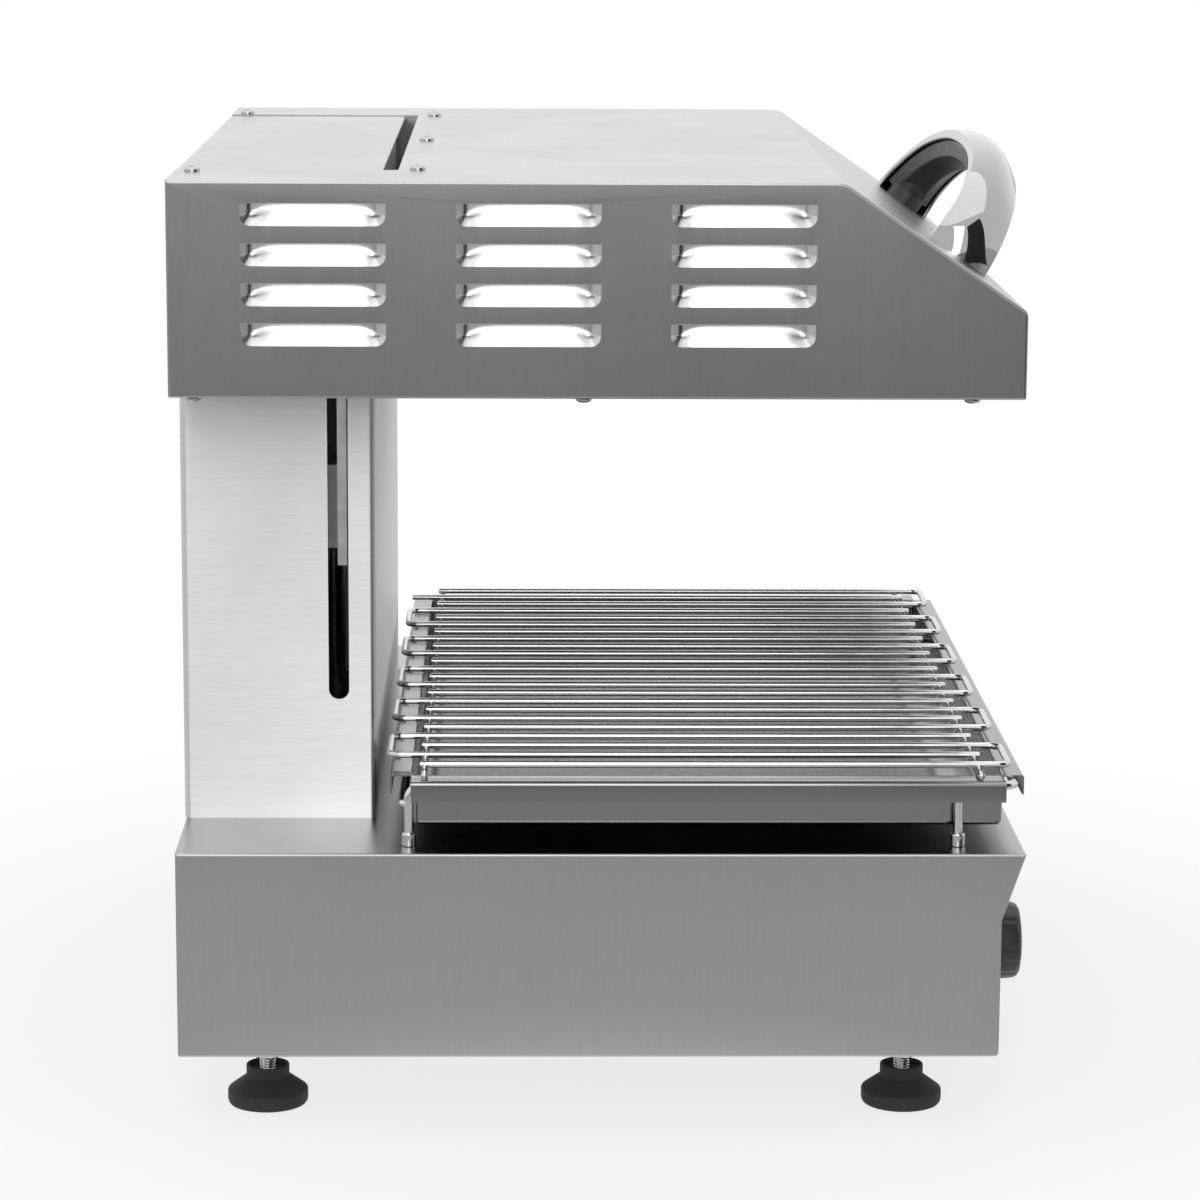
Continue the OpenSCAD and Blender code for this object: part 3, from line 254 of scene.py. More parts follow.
def tube(shape, points, radius, sides=14):
    """A round wire along points, its ends domed."""
    points = [Vector(p) for p in points]
    n = len(points)
    tangents = []
    for i in range(n):
        tangents.append((points[min(i + 1, n - 1)] - points[max(i - 1, 0)]).normalized())
    side = tangents[0].orthogonal().normalized()
    sides_at = []
    for i, t in enumerate(tangents):
        if i:
            side = tangents[i - 1].rotation_difference(t) @ side
            side = (side - t * side.dot(t)).normalized()
        sides_at.append(side.copy())

    def ring(i, r, shift=0.0):
        """The ring of radius r round point i, moved along the wire by shift."""
        t, u = tangents[i], sides_at[i]
        v = t.cross(u)
        middle = points[i] + t * shift
        return [middle + (u * math.cos(a) + v * math.sin(a)) * r for a in turns(sides)]

    cut = DOME * radius
    head = [ring(0, radius * share, cut * (1 - h)) for share, h in reversed(DOME_RINGS)]
    tail = [ring(-1, radius * share, -cut * (1 - h)) for share, h in DOME_RINGS]
    middle = [ring(i, radius) for i in range(1, n - 1)]
    shape.rings([*head, ring(0, radius, cut), *middle, ring(-1, radius, -cut), *tail], ends=True)


def bent(points, radius, steps=6):
    """A path in space with its corners rounded."""
    points = [Vector(p) for p in points]
    out = [points[0]]
    for a, p, b in zip(points, points[1:], points[2:]):
        e1, e2 = (p - a).normalized(), (b - p).normalized()
        turn = e1.angle(e2)
        reach = radius * math.tan(turn / 2)
        begin, end = p - e1 * reach, p + e2 * reach
        centre = begin + (e2 - e1 * e1.dot(e2)).normalized() * radius
        for k in range(steps + 1):
            arm = (begin - centre).slerp(end - centre, k / steps).normalized() * radius
            out.append(centre + arm)
    out.append(points[-1])
    return out


def linked(name, data):
    obj = bpy.data.objects.new(name, data)
    bpy.context.scene.collection.objects.link(obj)
    return obj


def polish(mesh, angle):
    """Smooth faces with sharp edges where they turn by more than the angle."""
    mesh.polygons.foreach_set("use_smooth", [True] * len(mesh.polygons))
    mesh.set_sharp_from_angle(angle=math.radians(angle))


SHARP = 32  # degrees
WELD, SLIVER = 2e-6, 1e-7  # metres: points nearer than this are joined, shorter edges dissolved


def piece(name, body, shape, material, replaces=(), thick=0.0, out=None, sharp=SHARP,
          blend=None, pick=None):
    """Makes a shape into an object that rides on a body, or, given blend, one left free with its
    placement baked into its mesh; blend's bodies and points are not read.
    thick turns an open sheet into steel of that thickness, laid inward from the side that faces
    out. material may be a list: pick(middle) then says which of them a face takes."""
    mesh = bpy.data.meshes.new(name)
    mesh.from_pydata([world(p) for p in shape.points], [], shape.faces)
    bm = bmesh.new()
    bm.from_mesh(mesh)
    bmesh.ops.remove_doubles(bm, verts=bm.verts, dist=WELD)
    bmesh.ops.dissolve_degenerate(bm, edges=bm.edges, dist=SLIVER)
    bmesh.ops.recalc_face_normals(bm, faces=bm.faces)
    if out is not None:
        largest = max(bm.faces, key=lambda f: f.calc_area())
        if largest.normal.dot(Vector(out)) < 0:
            bmesh.ops.reverse_faces(bm, faces=bm.faces)
    if pick:
        for f in bm.faces:
            f.material_index = pick(f.calc_center_median() * 1000)
    bm.to_mesh(mesh)
    bm.free()
    obj = linked(name, mesh)
    if thick:
        solid = obj.modifiers.new("thickness", "SOLIDIFY")
        solid.thickness = thick / 1000
        solid.offset = -1
        solid.use_even_offset = True
        bpy.context.view_layer.update()
        depsgraph = bpy.context.evaluated_depsgraph_get()
        made = bpy.data.meshes.new_from_object(obj.evaluated_get(depsgraph))
        obj.modifiers.clear()
        obj.data = made
        made.name = name
    polish(obj.data, sharp)
    weighted = obj.modifiers.new("weighted", "WEIGHTED_NORMAL")
    weighted.keep_sharp = True
    weighted.weight = 60
    for m in material if isinstance(material, (list, tuple)) else [material]:
        obj.data.materials.append(m)
    if blend:
        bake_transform(obj)
    else:
        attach(obj, body)
    if replaces:
        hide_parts(*replaces)
    return obj


# ---- Materials ----


class Nodes:
    """A material's node tree, with short ways to add and link nodes."""

    def __init__(self, name, **shader):
        self.material = bpy.data.materials.new(name)
        self.material.use_nodes = True
        self.tree = self.material.node_tree
        self.shader = self.tree.nodes["Principled BSDF"]
        for key, value in shader.items():
            self.shader.inputs[key.replace("_", " ")].default_value = value
        self.coords = self.tree.nodes.new("ShaderNodeTexCoord").outputs["Object"]

    def add(self, kind, settings=None, **inputs):
        node = self.tree.nodes.new(kind)
        for key, value in (settings or {}).items():
            setattr(node, key, value)
        for key, value in inputs.items():
            self.feed(node.inputs[key.replace("_", " ")], value)
        return node

    def feed(self, socket, value):
        if isinstance(value, bpy.types.NodeSocket):
            self.tree.links.new(value, socket)
        else:
            socket.default_value = value

    def scaled(self, scale):
        return self.add("ShaderNodeMapping", Vector=self.coords, Scale=scale).outputs["Vector"]

    def noise(self, scale, detail=4.0, rough=0.55, stretch=(1, 1, 1), distortion=0.0):
        return self.add(
            "ShaderNodeTexNoise",
            Vector=self.scaled(stretch),
            Scale=scale,
            Detail=detail,
            Roughness=rough,
            Distortion=distortion,
        ).outputs["Fac"]

    def span(self, value, low, high, start=0.3, end=0.7):
        """Maps a value from start to end smoothly onto low to high."""
        node = self.add("ShaderNodeMapRange", {"interpolation_type": "SMOOTHSTEP"}, Value=value)
        ends = {"From Min": start, "From Max": end, "To Min": low, "To Max": high}
        for key, number in ends.items():
            node.inputs[key].default_value = number
        return node.outputs["Result"]

    def mix(self, factor, a, b):
        node = self.add("ShaderNodeMix", {"data_type": "RGBA"})
        self.feed(node.inputs[0], factor)
        self.feed(node.inputs[6], a)
        self.feed(node.inputs[7], b)
        return node.outputs[2]

    def maths(self, a, b, operation="ADD"):
        node = self.add("ShaderNodeMath", {"operation": operation})
        self.feed(node.inputs[0], a)
        self.feed(node.inputs[1], b)
        return node.outputs[0]

    def bump(self, height, strength, distance):
        node = self.add("ShaderNodeBump", Height=height, Strength=strength, Distance=distance)
        return node.outputs["Normal"]

    def set(self, **inputs):
        for key, value in inputs.items():
            self.feed(self.shader.inputs[key.replace("_", " ")], value)
        return self.material


def rgba(value, tint=(1, 1, 1)):
    return (value * tint[0], value * tint[1], value * tint[2], 1)


def brushed(name, level, grain, tangent, rough=0.3, aniso=0.85, depth=0.12, spread=0.06):
    """Brushed stainless sheet. grain holds the noise's scale along x, y and z, small along the
    brushing, and tangent points across it."""
    n = Nodes(name, Metallic=1.0, Anisotropic=aniso)
    fine = n.noise(1.0, 3.0, 0.6, grain)
    coarse = n.noise(0.22, 2.0, 0.5, grain)
    marks = n.noise(9.0, 3.0, 0.5)
    streak = n.maths(n.maths(fine, 0.65, "MULTIPLY"), n.maths(coarse, 0.35, "MULTIPLY"))
    colour = n.mix(n.span(streak, 0, 1), rgba(level * (1 - spread)), rgba(level * (1 + spread)))
    smears = n.span(marks, -0.08 * rough, 0.08 * rough)
    roughness = n.maths(n.span(streak, rough * 0.93, rough * 1.07), smears)
    across = n.add("ShaderNodeCombineXYZ", X=tangent[0], Y=tangent[1], Z=tangent[2]).outputs[0]
    return n.set(
        Base_Color=colour,
        Roughness=roughness,
        Normal=n.bump(fine, depth, 0.00004),
        Tangent=across,
    )


SHEET, ALONG = 1500, 70  # the brushing's scale across and along it
UPRIGHT = (ALONG, SHEET, ALONG), (0, 1, 0)  # side sheets: grain, then the way across it
LEVEL = (ALONG, SHEET, SHEET), (0, 1, 1)  # brushed along x
ROUND = (ALONG, ALONG, SHEET), (0, 0, 1)  # brushed level, round the column
# One brushed stainless throughout: the side sheets, the base cover and the tray are set darker than
# the top as painted shade
STEEL_SIDE_SHADED = brushed("steel_side_shaded", 0.46, *UPRIGHT, 0.32, 0.85, 0.07, 0.03)
# The louver faces: the same steel set lighter, a painted highlight
STEEL_PRESSED_LIT = brushed("steel_pressed_lit", 0.62, *UPRIGHT, 0.25, 0.4, 0.03, 0.03)
STEEL_TOP = brushed("steel_top", 0.51, *LEVEL, 0.3)
STEEL_BASE_SHADED = brushed("steel_base_shaded", 0.39, *LEVEL, 0.22)
# The column: the same steel set lighter, a painted highlight
STEEL_COLUMN_LIT = brushed("steel_column_lit", 0.72, *ROUND, 0.45, 0.9)
STEEL_TRAY_SHADED = brushed("steel_tray_shaded", 0.27, *LEVEL, 0.13, 0.5, 0.03, 0.03)


def mill(name, level, rough, tint=(1, 1, 1)):
    """Plain sheet or bar steel with a faint mottle."""
    n = Nodes(name, Metallic=1.0)
    mottle = n.noise(60, 5, 0.6)
    fine = n.noise(900, 3, 0.6)
    return n.set(
        Base_Color=n.mix(n.span(mottle, 0, 1), rgba(level * 0.9, tint), rgba(level * 1.08, tint)),
        Roughness=n.maths(n.span(mottle, rough - 0.05, rough + 0.07), n.span(fine, -0.03, 0.03)),
        Normal=n.bump(fine, 0.08, 0.00005),
    )


MILL = mill("mill_steel", 0.5, 0.34)
GROUND = mill("ground_steel", 0.66, 0.2)
ROPE = mill("rope_steel", 0.42, 0.35)
ALUMINIUM = mill("cast_aluminium", 0.55, 0.42)
BRONZE = mill("bronze", 1.0, 0.33, (0.62, 0.42, 0.2))


def bright(name, level, rough):
    """Plated wire: bright, with a faint haze along it."""
    n = Nodes(name, Metallic=1.0)
    haze = n.noise(40, 4, 0.6)
    drawn = n.noise(700, 3, 0.6)
    return n.set(
        Base_Color=n.mix(n.span(haze, 0, 1), rgba(level * 0.94), rgba(level)),
        Roughness=n.span(haze, rough * 0.7, rough * 1.5),
        Normal=n.bump(drawn, 0.05, 0.00003),
    )


WIRE = bright("bright_wire", 0.7, 0.13)
CHROME = bright("chromed_shell", 0.43, 0.05)


def moulded(name, colour, rough, grain=1400, depth=0.12, coat=0.0):
    """Moulded plastic or rubber with a fine spark grain."""
    n = Nodes(name, Coat_Weight=coat, Specular_IOR_Level=0.45)
    spark = n.noise(grain, 3, 0.6)
    cloud = n.noise(35, 3, 0.5)
    dark = tuple(c * 0.85 for c in colour) + (1,)
    light = tuple(min(c * 1.2, 1) for c in colour) + (1,)
    return n.set(
        Base_Color=n.mix(n.span(cloud, 0, 1), dark, light),
        Roughness=n.maths(n.span(cloud, rough - 0.04, rough + 0.05), n.span(spark, -0.04, 0.04)),
        Normal=n.bump(spark, depth, 0.00006),
    )


BLACK = moulded("black_plastic", (0.04, 0.04, 0.042), 0.38)
RUBBER = moulded("rubber", (0.028, 0.028, 0.028), 0.7, 900, 0.2)
PALE = moulded("pale_plastic", (0.72, 0.68, 0.56), 0.42)
SLEEVE = moulded("wire_sleeve", (0.3, 0.07, 0.045), 0.65, 500, 0.4)
PAINT = moulded("painted_iron", (0.06, 0.06, 0.065), 0.45, 600, 0.25)
AMBER = moulded("lamp_amber", (0.85, 0.3, 0.03), 0.12, 200, 0.02, 0.4)


def cast(name):
    """Raw cast iron."""
    n = Nodes(name, Metallic=0.3)
    grit = n.noise(420, 6, 0.7)
    return n.set(
        Base_Color=n.mix(n.span(grit, 0, 1), (0.05, 0.05, 0.055, 1), (0.13, 0.13, 0.135, 1)),
        Roughness=n.span(grit, 0.5, 0.75),
        Normal=n.bump(grit, 0.5, 0.0004),
    )


IRON = cast("cast_iron")


def fibre(name):
    """Ceramic fibre blanket."""
    n = Nodes(name, Roughness=0.95)
    wool = n.noise(260, 8, 0.7, (1, 1, 2.5), 1.2)
    return n.set(
        Base_Color=n.mix(n.span(wool, 0, 1), (0.6, 0.57, 0.5, 1), (0.86, 0.84, 0.78, 1)),
        Normal=n.bump(wool, 0.7, 0.001),
    )


FIBRE = fibre("ceramic_fibre")


def sheath(name):
    """The oxidised skin of a heating element."""
    n = Nodes(name, Metallic=0.85)
    scale = n.noise(120, 6, 0.65)
    return n.set(
        Base_Color=n.mix(n.span(scale, 0, 1), (0.05, 0.045, 0.042, 1), (0.2, 0.17, 0.15, 1)),
        Roughness=n.span(scale, 0.42, 0.62),
        Normal=n.bump(scale, 0.2, 0.0001),
    )


SHEATH = sheath("element_sheath")

SLOTS = {
    "brushed_steel": STEEL_TOP,
    "plain_steel": MILL,
    "ground_steel": GROUND,
    "bright_wire": WIRE,
    "rope_steel": ROPE,
    "painted_iron": PAINT,
    "cast_aluminium": ALUMINIUM,
    "cast_iron": IRON,
    "bronze": BRONZE,
    "black_plastic": BLACK,
    "chromed_shell": CHROME,
    "rubber": RUBBER,
    "element_sheath": SHEATH,
    "ceramic_fibre": FIBRE,
    "pale_plastic": PALE,
    "lamp_amber": AMBER,
    "wire_sleeve": SLEEVE,
}

for row in frame["record"]["subparts"]:
    node = frame["nodes"][row["node"]]
    node.data.materials.clear()
    node.data.materials.append(SLOTS[row["material_slot"]])
    polish(node.data, SHARP)
for name in ("base_rear_panel", "hood_rear_panel"):
    frame["nodes"][name].data.materials[0] = STEEL_TOP

# ---- Sizes, read from the frame where a box gives them ----

BASE_LOW, BASE_HIGH = span("base_wrap")
HALF, LIP, BASE_TOP, BASE_BOTTOM = BASE_HIGH.x, BASE_HIGH.y, BASE_HIGH.z, BASE_LOW.z
FRONT, LIP_DROP = 474.5, 39.5  # the base's upright front, and how far its slanted top part drops
HOOD_LOW, HOOD_HIGH = span("hood_side_left")
HOOD_BOTTOM, HOOD_TOP, HOOD_D = HOOD_LOW.z, HOOD_HIGH.z, HOOD_HIGH.y
FRONT_EDGE, SLOPE_D, SLOPE_H = 49.5, 104, 72  # the hood's upright front, and the slope above it
SLOPE = math.atan2(SLOPE_H, SLOPE_D)
COL_LOW, COL_HIGH = span("column_casing")
CAP_LOW, CAP_HIGH = span("column_cap")
SHEET_T = 1.2  # steel sheet
HOOD_R, BASE_R = 1.6, 1.5  # bends along the edges of the side sheets
FLANGE_W, FLANGE_GAP = 15, 21  # side flanges, and how far behind the front they end
SIDES = (-1, "left"), (1, "right")


def on_side(side):
    """Gives the function that places (d, z, depth) on a side sheet."""
    return lambda d, z, depth: Vector((side * (HALF - depth), d, z))


def flanges(name, body, edge, rear, front, low):
    """The strips turned in under both side sheets."""
    shape = Shape()
    for s in (-1, 1):
        slab(shape, (s * edge, rear, low), (s * (HALF - FLANGE_W), front, low + SHEET_T))
    piece(name, body, shape, STEEL_SIDE_SHADED)


# ---- Hood ----

HOOD_CORNERS = [  # (d, z, radius)
    (0, HOOD_BOTTOM, 1.3),
    (HOOD_D, HOOD_BOTTOM, 1.3),
    (HOOD_D, HOOD_BOTTOM + FRONT_EDGE, 5),
    (HOOD_D - SLOPE_D, HOOD_TOP, 13),
    (0, HOOD_TOP, 1.3),
]
LOUVER_W, LOUVER_H, LOUVER_R, LOUVER_DEPTH = 81, 12.5, 6, 5.2
LOUVER_REAR, LOUVER_STEP = 41, 120  # the rear end of the rearmost, and the step forward
LOUVER_DROP, LOUVER_ROW = 12.6, 22.35  # the top row below the hood's top, and the step down
LOUVERS = [
    (LOUVER_REAR + LOUVER_STEP * i + LOUVER_W / 2, HOOD_TOP - LOUVER_DROP - LOUVER_ROW * j)
    for i in range(3)
    for j in range(4)
]
END_RAMP, LOW_RAMP, MIDDLE_RAMP, CORNER_RAMP = 5.6, 6.2, 9.4, 6.4  # lengths of the ways in
ENDS_BY = 5, 18  # the lower edge's ramp grows to MIDDLE_RAMP between these distances from an end


def ramp(t):
    """Rises straight from 0, then levels out at 1."""
    if t >= 1.2:
        return 1
    return t - max(t - 0.8, 0) ** 2 / 0.8


def recess(x, y):
    """How deep a louver is at x from its middle and y above its lower edge."""
    side = LOUVER_W / 2 - abs(x)
    t = min(max((side - ENDS_BY[0]) / (ENDS_BY[1] - ENDS_BY[0]), 0), 1)
    low = LOW_RAMP + (MIDDLE_RAMP - LOW_RAMP) * t * t * (3 - 2 * t)
    near = min(side / END_RAMP, y / low)
    if side < LOUVER_R and y < LOUVER_R:
        reach = LOUVER_R - math.hypot(LOUVER_R - side, LOUVER_R - y)
        near = min(near, reach / CORNER_RAMP)
    return LOUVER_DEPTH * ramp(max(near, 0))


def louver(shape, place, u0, v0):
    """One louver pressed inward, open along its top edge. Returns its hole in the panel."""
    # How far the mesh's rows lie above the lower edge, and its columns from either end
    rows = [0, 0.1, 0.35, 0.8, 1.4, 2.2, 3.1, 4.1, 5.2, 6.0, 6.8, 7.7, 8.7, 9.7, 10.8, LOUVER_H]
    ends = [0, 0.25, 0.6, 1.1, 1.8, 2.7, 3.7, 5.2, 7.0, 9.2, 12.0, 15.5, 20.5, 27, 34]
    half, grid = LOUVER_W / 2, []
    for y in rows:
        drop = max(LOUVER_R - y, 0)
        wide = half - (LOUVER_R - math.sqrt(max(LOUVER_R**2 - drop**2, 0)))
        across = [e * wide / half for e in ends]
        xs = [-wide + e for e in across] + [0.0] + [wide - e for e in reversed(across)]
        grid.append([(x, y, wide - abs(x)) for x in xs])
    low = v0 - LOUVER_H
    shape.rings([[place(u0 + x, low + y, recess(x, y)) for x, y, _ in row] for row in grid],
                closed=False)
    roll = [(0.7, 0), (0.36, 0.06), (0.12, 0.2), (0, 0.5)]  # the top edge: (height, depth)
    shape.rings([
        [place(u0 + x, v0 + rise, depth * min(edge / 2, 1)) for x, _, edge in grid[-1]]
        for rise, depth in roll
    ], closed=False)
    left = [(row[0][0], row[0][1]) for row in grid]
    right = [(row[-1][0], row[-1][1]) for row in grid]
    bottom = [(x, y) for x, y, _ in grid[0][1:-1]]
    top = [(x, LOUVER_H + roll[0][0]) for x, _, _ in reversed(grid[-1])]
    rises = [LOUVER_H + rise for rise, _ in roll[1:-1]]
    loop = [*reversed(left), *bottom, *right, *[(half, y) for y in reversed(rises)],
            *top, *[(-half, y) for y in rises]]
    return [(u0 + x, low + y) for x, y in loop]


def pressed(p):
    """1 for a face of a louver, whose middle is p in the frame's millimetres, else 0; those faces
    take the steel set lighter as a painted highlight.
    """
    if abs(p.x) > HALF - 0.01:
        return 0
    return int(any(
        abs(REAR - p.y - u) < LOUVER_W / 2 + 0.1 and v - LOUVER_H < p.z < v + 0.5
        for u, v in LOUVERS))


for side, word in SIDES:
    shape, place = Shape(), on_side(side)
    holes = [louver(shape, place, u, v) for u, v in LOUVERS]
    pan(shape, HOOD_CORNERS, holes, place, HOOD_R)
    # The louver faces take the second, lighter steel: a painted highlight on the pressed ramps
    piece(
        f"hood_side_sheet_{word}", "hood", shape, (STEEL_SIDE_SHADED, STEEL_PRESSED_LIT),
        [f"hood_side_{word}"], SHEET_T, (side, 0, 0), pick=pressed,
    )
flanges("hood_side_flanges", "hood", HALF - HOOD_R, 10, HOOD_D - FLANGE_GAP, HOOD_BOTTOM)

# The shell: top, slope, front and the flange under it
CUT_HALF, CUT_D = 226, 127  # the cut-out round the column
shell = Shape()
edge = HALF - HOOD_R
line = path([(0, HOOD_TOP), (HOOD_D - SLOPE_D, HOOD_TOP, 13), (HOOD_D, HOOD_BOTTOM + FRONT_EDGE, 6),
             (HOOD_D, HOOD_BOTTOM, 3.2), (HOOD_D - 20, HOOD_BOTTOM)])
line[0] = Vector((CUT_D, HOOD_TOP))
shell.rings([[Vector((x, p.x, p.y)) for x in (-edge, -CUT_HALF, CUT_HALF, edge)] for p in line],
            closed=False)
for s in (-1, 1):
    shell.rings([[Vector((s * x, d, HOOD_TOP)) for x in (CUT_HALF, edge)] for d in (0, CUT_D)],
                closed=False)
piece("hood_shell_sheet", "hood", shell, STEEL_TOP, ["hood_shell"], SHEET_T,
      (0, 0, 1))


def screw_head(shape, at, axis, radius, sides=28):
    """A domed head with a hexagon socket."""
    height, socket = radius * 0.58, radius * 0.36
    profile = [(radius, 0), (radius, height * 0.18)]
    for k in range(1, 7):
        t = math.pi / 2 * k / 8
        profile.append((radius * math.cos(t) ** 0.9, height * (0.18 + 0.82 * math.sin(t))))
    lathe(shape, profile, at, axis, sides, ends=False)
    lathe(shape, [profile[-1], (socket, height * 0.96), (socket, height * 0.45)], at, axis, sides,
          lambda t, i: hexagon(t) if i else 1, ends=False)
    face = [tuple(range(sides))]
    shape.put(circle(at, axis, socket, height * 0.45, sides, hexagon), face)
    shape.put(circle(at, axis, radius, 0, sides), face)


HOOD_SCREW_R, ARM_BOLT_R = 4.6, 5
UP, DOWN = (0, 0, 1), (0, 0, -1)
screws = Shape()
for s in (-1, 1):  # beside the cut-out
    screw_head(screws, (s * 236, 10, HOOD_TOP), UP, HOOD_SCREW_R)
for x in (-222, 0, 222):  # in front of it
    screw_head(screws, (x, CUT_D + 11, HOOD_TOP), UP, HOOD_SCREW_R)
for s in (-1, 1):
    for d in (14, 232.5, 451):  # under the bottom edge
        screw_head(screws, (s * 294.5, d, HOOD_BOTTOM), DOWN, HOOD_SCREW_R)
    for z in (HOOD_BOTTOM + 30, HOOD_BOTTOM + 80):  # the carriage arms' bolts, inside the hood
        screw_head(screws, (s * 227.2, 66.5, z), (s, 0, 0), ARM_BOLT_R)
piece("hood_screw_heads", "hood", screws, CHROME, ["hood_screws"], sharp=40)

# ---- Base ----

BASE_CORNERS = [  # (d, z, radius)
    (0, BASE_BOTTOM, 1.3),
    (FRONT, BASE_BOTTOM, 2.5),
    (FRONT, BASE_TOP - LIP_DROP, 3),
    (LIP, BASE_TOP, 0.8),
    (0, BASE_TOP, 1.3),
]
for side, word in SIDES:
    shape = Shape()
    pan(shape, BASE_CORNERS, [], on_side(side), BASE_R)
    piece(f"base_side_{word}", "root", shape, STEEL_SIDE_SHADED,
          ["base_wrap"] if side < 0 else (), SHEET_T, (side, 0, 0))
flanges("base_side_flanges", "root", HALF - BASE_R, 8, FRONT - FLANGE_GAP, BASE_BOTTOM)

edge = HALF - BASE_R
TOP_FRONT, JOIN = LIP - 6, BASE_BOTTOM + 60  # where the folded front edge starts and ends
PLATE_HIGH, PLATE_GAP = span("carriage_plate")[1], 2
PLATE_HALF, PLATE_FRONT = PLATE_HIGH.x + PLATE_GAP, PLATE_HIGH.y + PLATE_GAP
opening = rect(-PLATE_HALF, PLATE_HALF, 5.2, PLATE_FRONT)  # for the carriage, with the hood down
cover = Shape()
cover.flat(rect(-edge, edge, 0, TOP_FRONT), [opening], lambda u, v: Vector((u, v, BASE_TOP)))
line = path([(TOP_FRONT, BASE_TOP), (LIP, BASE_TOP, 1.2), (FRONT, BASE_TOP - LIP_DROP, 3),
             (FRONT, JOIN)])
cover.rings([[Vector((x, p.x, p.y)) for x in (-edge, edge)] for p in line], closed=False)
KNOB_X, KNOB_Z, LAMP_X, PANEL_HOLE_R = 195, 87, 140, 5
holes = [
    [(x + PANEL_HOLE_R * math.cos(t), KNOB_Z + PANEL_HOLE_R * math.sin(t)) for t in turns(20)]
    for x in (-KNOB_X, KNOB_X, -LAMP_X, LAMP_X)
]
low = BASE_BOTTOM + 5
cover.flat(rect(-edge, edge, low, JOIN), holes, lambda u, v: Vector((u, FRONT, v)))
line = path([(FRONT, low), (FRONT, BASE_BOTTOM, 3), (FRONT - 20, BASE_BOTTOM)])
cover.rings([[Vector((x, p.x, p.y)) for x in (-edge, edge)] for p in line], closed=False)
piece("base_cover", "root", cover, STEEL_BASE_SHADED, ["control_panel"], SHEET_T,
      (0, 0, 1))

# ---- Column ----

COL_R = 2.5
SLOT_D, SLOT_W, SLOT_Z = 90.5, 12, (239, 544)
slot_line = outline([  # round at the bottom
    (SLOT_D - SLOT_W / 2, SLOT_Z[0], 5.9), (SLOT_D + SLOT_W / 2, SLOT_Z[0], 5.9),
    (SLOT_D + SLOT_W / 2, SLOT_Z[1], 1), (SLOT_D - SLOT_W / 2, SLOT_Z[1], 1)], steps=8)
column = Shape()
ring = outline(box_corners(COL_LOW.x, COL_HIGH.x, COL_LOW.y, COL_HIGH.y, COL_R), steps=5)
low, high = COL_LOW.z, COL_HIGH.z
for a, b in zip(ring, [*ring[1:], ring[0]]):
    if abs(a.x - b.x) < 1e-6 and abs(a.y - b.y) > 20:  # a side, which has the slot
        column.flat(rect(COL_LOW.y + COL_R, COL_HIGH.y - COL_R, low, high), [slot_line],
                    lambda u, v, x=a.x: Vector((x, u, v)))
    else:
        column.rings([[Vector((p.x, p.y, z)) for p in (a, b)] for z in (low, high)], closed=False)
# The column's steel is set lighter than the rest of the stainless: a painted highlight
piece("column_casing_sheet", "root", column, STEEL_COLUMN_LIT, ["column_casing"],
      SHEET_T, (0, -1, 0))

CAP_R, CAP_BEND = 2, 1.2
cap = Shape()
cap_corners = box_corners(CAP_LOW.x, CAP_HIGH.x, 0, CAP_HIGH.y, CAP_R)
pan(cap, cap_corners, [], lambda u, v, w: Vector((u, v, CAP_HIGH.z - w)), CAP_BEND)
under = outline(cap_corners)
cap.rings([[Vector((p.x, p.y, z)) for p in under] for z in (CAP_HIGH.z - CAP_BEND, CAP_LOW.z)])
cap.put([Vector((p.x, p.y, CAP_LOW.z)) for p in under], [tuple(range(len(under)))])
piece("column_cap_sheet", "root", cap, STEEL_TOP, ["column_cap"], sharp=40)

# ---- Drip tray ----

TRAY_LOW, TRAY_HIGH = span("drip_tray")
RIM = TRAY_HIGH.z
TRAY_HALF, TRAY_F, TRAY_R = TRAY_HIGH.x, TRAY_HIGH.y, TRAY_LOW.y
RIM_SIDE, RIM_END = 20, 12.5  # width of the rim beside the pan, and before and behind it
PAN_HALF, PAN_F, PAN_R = TRAY_HALF - RIM_SIDE, TRAY_F - RIM_END, TRAY_R + RIM_END
LIP_H, DEPTH = 11.5, 29  # the turned-down lip, and the pan
BEND = 1.9
tray = Shape()
plate = [
    (-TRAY_HALF + BEND, PAN_R), (-PAN_HALF, PAN_R), (-PAN_HALF, TRAY_R + BEND),
    (PAN_HALF, TRAY_R + BEND), (PAN_HALF, PAN_R), (TRAY_HALF - BEND, PAN_R),
    (TRAY_HALF - BEND, PAN_F), (PAN_HALF, PAN_F), (PAN_HALF, TRAY_F - BEND),
    (-PAN_HALF, TRAY_F - BEND), (-PAN_HALF, PAN_F), (-TRAY_HALF + BEND, PAN_F),
]
WALL_R, FLOOR_R, TAPER = 1.8, 2, 0.3  # bends above and below the pan's wall, and its lean
levels = [(-back, down) for back, down in bend(WALL_R)]
levels += [(TAPER + down, DEPTH - back) for back, down in bend(FLOOR_R, 7)]
pan_box = box_corners(-PAN_HALF + 0.5, PAN_HALF - 0.5, PAN_R + 0.5, PAN_F - 0.5, 3.2)
tray.rings([
    [Vector((p.x, p.y, RIM - depth)) for p in outline(pan_box, inset, 8)] for inset, depth in levels
])
tray.flat(plate, [outline(pan_box, -WALL_R, 8)], lambda u, v: Vector((u, v, RIM)))
tray.flat(outline(pan_box, levels[-1][0], 8), [], lambda u, v: Vector((u, v, RIM - DEPTH)))
